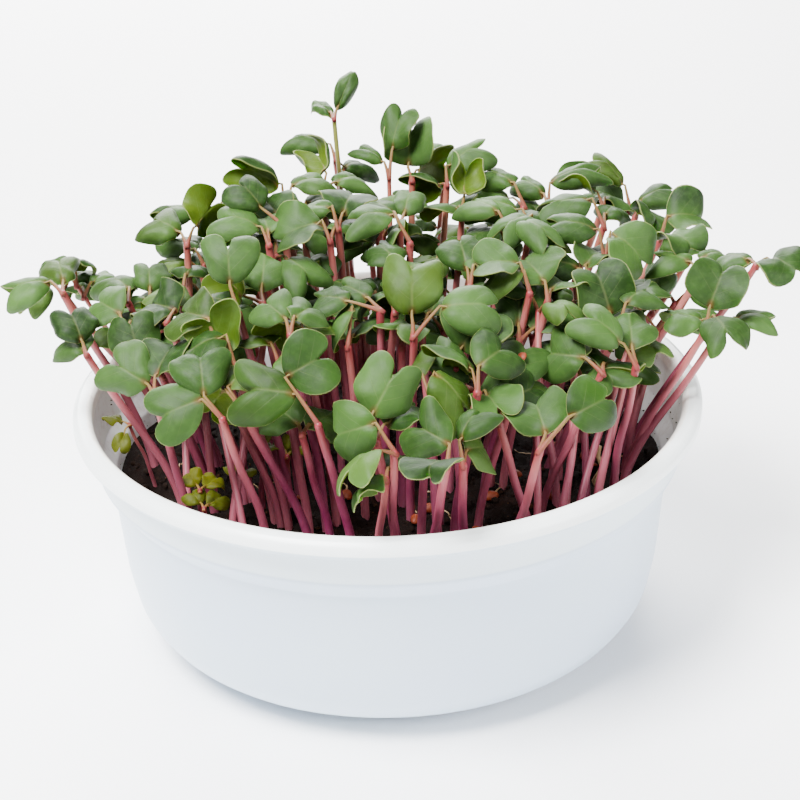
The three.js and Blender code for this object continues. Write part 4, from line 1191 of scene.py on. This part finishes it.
HUSKS_SEEN = [  # where the sheet shows rusty seed husks on the soil; more are added by rule
    (520, 360), (490, 500), (555, 500), (640, 430), (168, 440), (300, 505), (430, 512), (590, 470),
]
HUSKS_ON_LEAVES = [(523, 365), (292, 268)]
HUSKS = 28
HUSK_LONG = 1.7
HUSK_RINGS = 5
HUSK_STEPS = 12
HUSK_SHAPE = (1.15, 0.8, 0.8)
HUSK_WALL = 0.86
HUSK_SIZES = (0.75, 1.15)
HUSK_LEAN = (-0.9, 0.9)
HUSK_RIPPLE = 0.08
HUSK_LIFT = 0.3  # of its length, off a leaf
HUSK_LYING = SOIL_LEVEL + 5  # below this height a husk lies on the soil's relief
HUSK_SEED = 91
HUSK_LIMITS = (60, 62)  # from the middle: those by rule, and those that the sheet shows
SOIL_SIGHT_END = 640


def on_soil(u, v):
    sight = sight_line(u, v)
    for far in np.arange(SIGHT_START, SOIL_SIGHT_END, SIGHT_STEP):
        point = eye + sight * far
        if point[2] < soil_height(point[0], point[1]):
            break
    return point


def on_leaf(u, v):
    """The place on the leaf whose middle the sheet shows nearest to a point, on its seen side."""
    nearest, place = math.inf, None
    for sprout in planted:
        for blade in sprout["head"]["blades"]:
            middle = blade["base"] + blade["along"] * BLADE_MIDDLE * blade["length"]
            across, down = sheet_place(middle)
            side = 1 if blade["normal"].dot(eye - middle) > 0 else -1
            away = math.hypot(across - u, down - v)
            if away < nearest:
                nearest, place = away, middle + blade["normal"] * side * HUSK_LONG * HUSK_LIFT
    return place


def husk(builder, place, random):
    """A seed coat: a small open half shell with a rippled rim."""
    size = HUSK_LONG * lerp(*HUSK_SIZES, random())
    turn, lean = any_turn(random), lerp(*HUSK_LEAN, random())
    ahead = vec(*around(1, turn), 0)
    side = vec(-math.sin(turn) * math.cos(lean), math.cos(turn) * math.cos(lean), math.sin(lean))
    up = np.cross(ahead, side)
    if place[2] < HUSK_LYING:
        place = place + vec(0, 0, lumps(place[0], place[1]) + 0.5 * size)
    turns = round_turns(HUSK_STEPS)
    ripple = 1 + HUSK_RIPPLE * np.sin(3 * turns + size * 5)
    long, wide, high = HUSK_SHAPE
    points = []
    for wall in (1.0, HUSK_WALL):
        for k in range(HUSK_RINGS):
            tilt = 0.5 * math.pi * (k + 0.5) / HUSK_RINGS
            spread = size * wall * math.sin(tilt) * ripple
            points.extend(place + np.outer(long * spread * np.cos(turns), ahead)
                          + np.outer(wide * spread * np.sin(turns), side)
                          + up * (size * wall * high * math.cos(tilt)))
    half = HUSK_RINGS * HUSK_STEPS
    rim = half - HUSK_STEPS
    faces = [tuple(range(HUSK_STEPS)), tuple(reversed(range(half, half + HUSK_STEPS)))]
    faces += band(half + rim, rim, HUSK_STEPS)
    for start in range(0, rim, HUSK_STEPS):
        faces += band(start + HUSK_STEPS, start, HUSK_STEPS)
        faces += band(half + start, half + start + HUSK_STEPS, HUSK_STEPS)
    builder.add(points, faces, (random(), 0, 0, 0))


def husks_piece():
    random = seeded(HUSK_SEED)
    builder = Builder()
    by_rule, seen = HUSK_LIMITS
    places = [on_soil(u, v) for u, v in HUSKS_SEEN]
    places = [place for place in places if math.hypot(place[0], place[1]) < seen]
    while len(places) < HUSKS:
        x, y = anywhere(by_rule, random)
        places.append(vec(x, y, soil_height(x, y)))
    for place in places + [on_leaf(u, v) for u, v in HUSKS_ON_LEAVES]:
        husk(builder, place, random)
    builder.piece("seed_husks", husk_material)


ROOTLETS = 24
ROOTLET_POINTS = 9
ROOTLET_LONG = (2.5, 9)
ROOTLET_LIMITS = (61, 63)  # from the middle: where they start, and where they break off
ROOTLET_BEND = (-0.55, 0.55)
ROOTLET_LIFT = 0.25
ROOTLET_ARCH = (0.5, 0.7)  # how high it arches off the soil, and how fast
ROOTLET_RADII = (0.22, 0.08)
ROOTLET_SEED = 53
SHOOT = [(601, 492), (595, 481), (603, 468), (598, 456), (600, 446)]  # a twisted one by the edge
SHOOT_DEPTH = -16
SHOOT_CUTS = 12
SHOOT_RADII = (1.0, 0.4)


def rootlet(builder, random):
    start, end = ROOTLET_LIMITS
    place = np.array(anywhere(start, random))
    heading = any_turn(random)
    length = lerp(*ROOTLET_LONG, random())
    path = []
    for k in range(ROOTLET_POINTS):
        heading += lerp(*ROOTLET_BEND, random())
        place = place + around(length / (ROOTLET_POINTS - 1), heading)
        if np.linalg.norm(place) > end:
            break
        arch = ROOTLET_ARCH[0] * math.sin(k * ROOTLET_ARCH[1]) ** 2
        path.append(vec(*place, surface(*place) + ROOTLET_LIFT + arch))
    if len(path) > 4:
        tube(builder, path, np.linspace(*ROOTLET_RADII, len(path)), (random(), 0, 0, 0), 5)


def rootlets_piece():
    """Fine pale roots and shoots that show on the soil."""
    random = seeded(ROOTLET_SEED)
    builder = Builder()
    for _ in range(ROOTLETS):
        rootlet(builder, random)
    shoot = np.array([on_depth(sight_line(u, v), SHOOT_DEPTH) for u, v in SHOOT])
    radii = np.linspace(*SHOOT_RADII, SHOOT_CUTS + 1)
    tube(builder, between(shoot, SHOOT_CUTS), radii, (0.5, 0, 0, 0), 7)
    builder.piece("rootlets", root_material)


# ---- materials ----
def srgb(red, green, blue):
    """A colour given as it looks on a screen, 0 to 255, as the light values that a shader takes."""
    out = []
    for part in (red, green, blue):
        share = part / 255
        out.append(share / 12.92 if share <= 0.04045 else ((share + 0.055) / 1.055) ** 2.4)
    return (*out, 1.0)


class Nodes:
    """A material's node tree, with one call for each node or small group of them."""

    def __init__(self, name):
        self.material = bpy.data.materials.new(name)
        self.material.use_nodes = True
        self.tree = self.material.node_tree
        self.shader = self.tree.nodes["Principled BSDF"]

    def node(self, kind, sockets=(), **values):
        """A new node, with its settings by name and its sockets' values by number or name."""
        made = self.tree.nodes.new(kind)
        for key, value in values.items():
            setattr(made, key, value)
        for key, value in sockets:
            self.feed(made.inputs[key], value)
        return made

    def feed(self, socket, value):
        if isinstance(value, bpy.types.NodeSocket):
            self.tree.links.new(value, socket)
        else:
            socket.default_value = value

    def set(self, **values):
        for key, value in values.items():
            self.feed(self.shader.inputs[key.replace("_", " ")], value)

    def math(self, operation, first, second=0.5, clamp=False):
        made = self.node("ShaderNodeMath", enumerate((first, second)), operation=operation,
                         use_clamp=clamp)
        return made.outputs[0]

    def times(self, value, *others):
        for other in others:
            value = self.math("MULTIPLY", value, other)
        return value

    def over(self, value, start, gain=1.0):
        """0 up to the start, and from there rising at the gain to 1."""
        return self.math("MULTIPLY", self.math("SUBTRACT", value, start, True), gain, True)

    def fade(self, value, gain=1.0):
        """1 where the value is 0, and falling at the gain to 0."""
        return self.math("SUBTRACT", 1.0, self.times(value, gain), True)

    def mix(self, share, first, second):
        sockets = ((0, share), (6, first), (7, second))
        return self.node("ShaderNodeMix", sockets, data_type="RGBA").outputs[2]

    def ramp(self, share, stops):
        made = self.node("ShaderNodeValToRGB", [(0, share)])
        elements = made.color_ramp.elements
        while len(elements) < len(stops):
            elements.new(0.5)
        for element, (place, colour) in zip(elements, stops):
            element.position = place
            element.color = colour
        return made.outputs[0]

    def object_place(self):
        return self.node("ShaderNodeTexCoord").outputs["Object"]

    def object_parts(self):
        return self.node("ShaderNodeSeparateXYZ", [(0, self.object_place())]).outputs

    def noise(self, scale, detail=3.0, roughness=0.55):
        sockets = (("Vector", self.object_place()), ("Scale", scale), ("Detail", detail),
                   ("Roughness", roughness))
        return self.node("ShaderNodeTexNoise", sockets).outputs["Fac"]

    def mark(self, note="mark"):
        made = self.node("ShaderNodeAttribute", attribute_name=note)
        parts = self.node("ShaderNodeSeparateColor", [(0, made.outputs["Color"])])
        return (*parts.outputs, made.outputs["Alpha"])

    def bump(self, height, strength, distance):
        sockets = (("Height", height), ("Strength", strength), ("Distance", distance))
        self.set(Normal=self.node("ShaderNodeBump", sockets).outputs[0])


FRONT_LEAVES = 0.026  # metres in front of the middle, from where the leaves are painted darker, as painted shade
FRONT_SPAN = 0.03
LEAF_PLUM = srgb(92, 26, 18)


def make_leaf_material(name, top, top_pale, shaded_near_pale, deep, under, under_yellow, margin, stalk,
                       stalk_green):
    n = Nodes(name)
    ring, tint, back, petiole = n.mark()
    along, across, yellow, _ = n.mark("place")
    broad = n.noise(75, 2)
    cells = n.noise(520, 3)
    dust = n.noise(1900, 2)
    # painted shade: the pale tone is darkened on leaves in front of the middle
    forwards = n.over(n.times(n.object_parts()[1], -1.0), FRONT_LEAVES, 1 / FRONT_SPAN)
    pale = n.mix(n.times(forwards, n.math("SUBTRACT", 1.3, tint)), top_pale, shaded_near_pale)
    upper = n.mix(n.times(tint, 0.6), top, pale)
    upper = n.mix(n.over(yellow, 0.8, 1.8), upper, under_yellow)
    # pale patches on the upper faces: partly the leaves' waxy bloom, partly a painted highlight in
    # place of a broad shine
    bloom_and_highlight = n.over(n.noise(48, 1), 0.52, 4.0)
    upper = n.mix(n.times(bloom_and_highlight, 0.75), upper, pale)
    upper = n.mix(n.over(broad, 0.35, 1.3), upper, deep)
    # the undersides: their own paler, yellower green, made lighter still as painted light shining
    # through the thin leaf
    lower = n.mix(n.times(yellow, 0.8), under, under_yellow)
    lower = n.mix(n.times(broad, 0.35), lower, deep)
    colour = n.mix(back, upper, lower)
    # side veins run out and forwards from the midrib
    off_middle = n.math("ABSOLUTE", across)
    slant = n.math("SUBTRACT", along, n.times(off_middle, 0.8))
    vein = n.fade(n.math("ABSOLUTE", n.math("SINE", n.times(slant, 12.0))), 9.0)
    midrib = n.times(n.fade(off_middle, 26.0), n.fade(along))
    veins = n.math("MAXIMUM", n.times(vein, n.fade(ring), 0.55), midrib)
    colour = n.mix(n.times(veins, 0.24), colour, margin)
    # the plum of the leaf's foot, and its paler rim
    at_foot = n.times(n.fade(along, 5.0), n.fade(off_middle, 1 / 0.09), n.fade(petiole, 30.0))
    colour = n.mix(n.times(at_foot, 0.9), colour, LEAF_PLUM)
    colour = n.mix(n.times(n.over(ring, 0.976, 42.0), 0.5), colour, margin)
    foot = n.mix(n.math("POWER", petiole, 1.5), stalk_green, stalk)
    colour = n.mix(n.math("POWER", petiole, 0.45), colour, foot)
    colour = n.mix(n.over(cells, 0.44286, 0.7), colour, pale)
    n.set(Base_Color=colour, Roughness=n.math("ADD", n.times(broad, 0.16), 0.46),
          Subsurface_Weight=0.22, Subsurface_Scale=0.001, Subsurface_Radius=(0.6, 1.0, 0.2),
          Specular_IOR_Level=0.14)
    relief = n.math("ADD", n.times(cells, 0.6), n.times(dust, 0.25))
    n.bump(n.math("SUBTRACT", relief, n.times(veins, 0.5)), 0.45, 0.00035)
    return n.material


def make_stem_material():
    n = Nodes("pink_stem")
    height, tint, fork, far = n.mark()
    streaks = n.noise(160, 4)
    colour = n.ramp(height, [
        (0.0, srgb(164, 88, 112)), (0.2, srgb(112, 26, 72)), (0.5, srgb(128, 42, 78)),
        (0.8, srgb(126, 52, 62)), (1.0, srgb(124, 70, 46))])
    colour = n.mix(0.4, colour, n.mix(tint, srgb(172, 104, 96), srgb(94, 12, 58)))
    colour = n.mix(n.over(streaks, 0.3, 0.55), colour, srgb(172, 98, 116))
    green = n.over(far, 1.0)
    tan = n.times(n.math("MINIMUM", far, 1.0), height, n.math("ADD", n.times(tint, 0.7), 0.2))
    colour = n.mix(tan, colour, srgb(164, 112, 84))
    colour = n.mix(n.times(fork, 0.8), colour, srgb(112, 16, 34))
    colour = n.mix(n.times(green, height), colour, srgb(104, 108, 48))
    n.set(Base_Color=colour, Roughness=0.42, Subsurface_Weight=0.15, Subsurface_Scale=0.001,
          Subsurface_Radius=(1.0, 0.35, 0.3), Specular_IOR_Level=0.3)
    n.bump(streaks, 0.15, 0.0003)
    return n.material


LIP_FOOT = 57.3  # heights on the bowl where the lip and the band above the shoulder begin
BAND_FOOT = 47.8


def make_bowl_material():
    n = Nodes("white_plastic")
    inside = n.mark()[0]
    cloud = n.noise(22, 3)
    colour = n.mix(cloud, srgb(190, 208, 217), srgb(180, 195, 220))
    height = n.times(n.object_parts()[2], 1000.0)
    colour = n.mix(n.times(n.over(height, BAND_FOOT, 3.0), 0.7), colour, srgb(208, 220, 224))
    # painted light: the lip's top is lighter where the light falls on it
    colour = n.mix(n.over(height, LIP_FOOT, 4.0), colour, srgb(234, 240, 240))
    # painted shade: thin darker lines at the shoulder and just under the lip, where the wall steps in
    for line, wide, share in ((BAND_FOOT, 0.7, 0.35), (LIP_FOOT - 0.5, 0.5, 0.3)):
        away = n.math("ABSOLUTE", n.math("SUBTRACT", height, line))
        colour = n.mix(n.times(n.fade(away, 1 / wide), share), colour, srgb(150, 166, 184))
    dirty = n.over(n.noise(260, 6, 0.7), 0.5, 3.0)
    colour = n.mix(n.times(inside, 0.55), colour, srgb(236, 228, 214))
    colour = n.mix(n.times(dirty, inside, 0.6), colour, srgb(150, 128, 104))
    n.set(Base_Color=colour, Roughness=0.32, Subsurface_Weight=0.15, Subsurface_Scale=0.004,
          Subsurface_Radius=(1.0, 1.0, 1.0), Specular_IOR_Level=0.5)
    n.bump(cloud, 0.05, 0.001)
    return n.material


def make_soil_material(name, dark, light, fibre):
    n = Nodes(name)
    grains = n.noise(1100, 5, 0.7)
    clods = n.noise(300, 3)
    colour = n.mix(grains, dark, light)
    colour = n.mix(n.over(clods, 0.55, 2.2), colour, fibre)
    colour = n.mix(n.over(n.mark()[0], 0.86, 5.0), colour, srgb(96, 66, 44))
    n.set(Base_Color=colour, Roughness=0.9, Specular_IOR_Level=0.12)
    n.bump(n.math("ADD", grains, clods), 0.9, 0.0009)
    return n.material


def make_plain_material(name, first, second, scale, roughness, depth):
    n = Nodes(name)
    grain = n.noise(scale, 4)
    colour = n.mix(grain, first, second)
    colour = n.mix(n.times(n.mark()[0], 0.35), colour, second)
    n.set(Base_Color=colour, Roughness=roughness, Specular_IOR_Level=0.4)
    n.bump(grain, 0.5, depth)
    return n.material


leaf_material = make_leaf_material(
    "seed_leaf", top=srgb(14, 36, 2), top_pale=srgb(67, 98, 44), shaded_near_pale=srgb(46, 78, 20),
    deep=srgb(8, 22, 1), under=srgb(46, 68, 6), under_yellow=srgb(76, 94, 12),
    margin=srgb(126, 130, 80), stalk=srgb(106, 44, 44), stalk_green=srgb(106, 84, 44))
pale_leaf_material = make_leaf_material(
    "pale_leaf", top=srgb(62, 68, 6), top_pale=srgb(88, 92, 16), shaded_near_pale=srgb(88, 92, 16),
    deep=srgb(34, 42, 2), under=srgb(66, 70, 6), under_yellow=srgb(96, 92, 12),
    margin=srgb(116, 112, 40), stalk=srgb(140, 90, 60), stalk_green=srgb(120, 110, 50))
stem_material = make_stem_material()
bowl_material = make_bowl_material()
soil_material = make_soil_material("potting_soil", srgb(7, 3, 2), srgb(27, 14, 9), srgb(52, 26, 15))
crumb_material = make_soil_material("soil_crumb", srgb(8, 5, 4), srgb(38, 24, 17), srgb(66, 38, 22))
husk_material = make_plain_material(
    "seed_coat", srgb(150, 62, 18), srgb(88, 28, 8), scale=900, roughness=0.6, depth=0.0003)
root_material = make_plain_material(
    "pale_root", srgb(190, 168, 128), srgb(150, 118, 82), scale=800, roughness=0.5, depth=0.0002)


# ---- the pieces ----
STEM_SEED = 900
MORE_STEMS_SEED = 950
MORE_STEMS_SIZE = 0.94
PALE_STEM_SIZE = 0.7
PALE_STALK_SIZE = 0.6
EXTRA_GROUP = 12  # heads in one extra piece

bowl_piece()
soil_piece()
crumbs_piece()
husks_piece()
rootlets_piece()

in_solids = sprouts_of(*range(LEAF_NODES))
for sector in range(STEM_NODES):
    stems = Builder()
    draw = seeded(STEM_SEED + sector)
    mat_plate(stems, sector)
    for sprout in in_solids:
        if sector_of(sprout["root"]) == sector:
            fine_stem(stems, sprout, draw)
    stems.piece(f"pink_stems_{sector + 1}", stem_material, (f"stems_{sector + 1}",))

more_stems = Builder()
draw = seeded(MORE_STEMS_SEED)
for sprout in sprouts_of("fine", "pale"):
    size = PALE_STEM_SIZE if sprout["owner"] == "pale" else MORE_STEMS_SIZE
    fine_stem(more_stems, sprout, draw, size)
more_stems.piece("more_pink_stems", stem_material)

for node in range(LEAF_NODES):
    leaf_piece(f"seed_leaves_{node + 1:02d}", sprouts_of(node), leaf_material,
               (f"leaves_{node + 1:02d}",))

more_heads = sprouts_of("fine")
for start in range(0, len(more_heads), EXTRA_GROUP):
    leaf_piece(f"more_leaves_{start // EXTRA_GROUP + 1:02d}", more_heads[start:start + EXTRA_GROUP],
               leaf_material)
leaf_piece("dwarf_leaves", sprouts_of("pale"), pale_leaf_material, stalk_size=PALE_STALK_SIZE)

# ---- floor, light and camera, in metres ----
HALF_FLOOR = 3.0
floor_mesh = bpy.data.meshes.new("floor")
floor_mesh.from_pydata([(HALF_FLOOR * x, HALF_FLOOR * y, 0)
                        for x, y in ((-1, -1), (1, -1), (1, 1), (-1, 1))], [], [(0, 1, 2, 3)])
floor = bpy.data.objects.new("floor", floor_mesh)
bpy.context.scene.collection.objects.link(floor)
floor_look = Nodes("pale_floor")
floor_look.set(Base_Color=srgb(252, 252, 253), Roughness=0.8, Specular_IOR_Level=0.2)
floor_mesh.materials.append(floor_look.material)

world = bpy.data.worlds.new("studio")
bpy.context.scene.world = world
world.use_nodes = True
background = world.node_tree.nodes["Background"]
background.inputs["Color"].default_value = (1.0, 1.0, 1.0, 1.0)
background.inputs["Strength"].default_value = 0.3


def put(name, data, side, up, back, place):
    """A lamp or the camera at its place, looking away from its back vector."""
    made = bpy.data.objects.new(name, data)
    bpy.context.scene.collection.objects.link(made)
    made.matrix_world = Matrix([*np.column_stack([side, up, back, place]).tolist(), [0, 0, 0, 1]])
    return made


LIT_MIDDLE = vec(0, 0, 0.06)
for name, place, size, power in (
        ("key", (-0.3, -0.3, 0.8), 0.45, 42.0),
        ("fill", (0.6, -0.45, 0.35), 0.6, 8.0),
        ("back", (-0.1, 0.8, 0.5), 0.8, 34.0)):
    lamp = bpy.data.lights.new(name, "AREA")
    lamp.shape = "DISK"
    lamp.size = size
    lamp.energy = power
    back = unit(place - LIT_MIDDLE)
    side = square_to(vec(1, 0, 0), back)
    put(name, lamp, side, np.cross(back, side), back, place)

SENSOR = 36.0
lens = bpy.data.cameras.new("camera")
lens.sensor_width = SENSOR
lens.lens = SENSOR * SHEET_FOCUS / (2 * SHEET_MIDDLE)
lens.clip_start = 0.01
lens.clip_end = 20
bpy.context.scene.camera = put("camera", lens, eye_right, eye_up, -eye_forward, eye * MM)
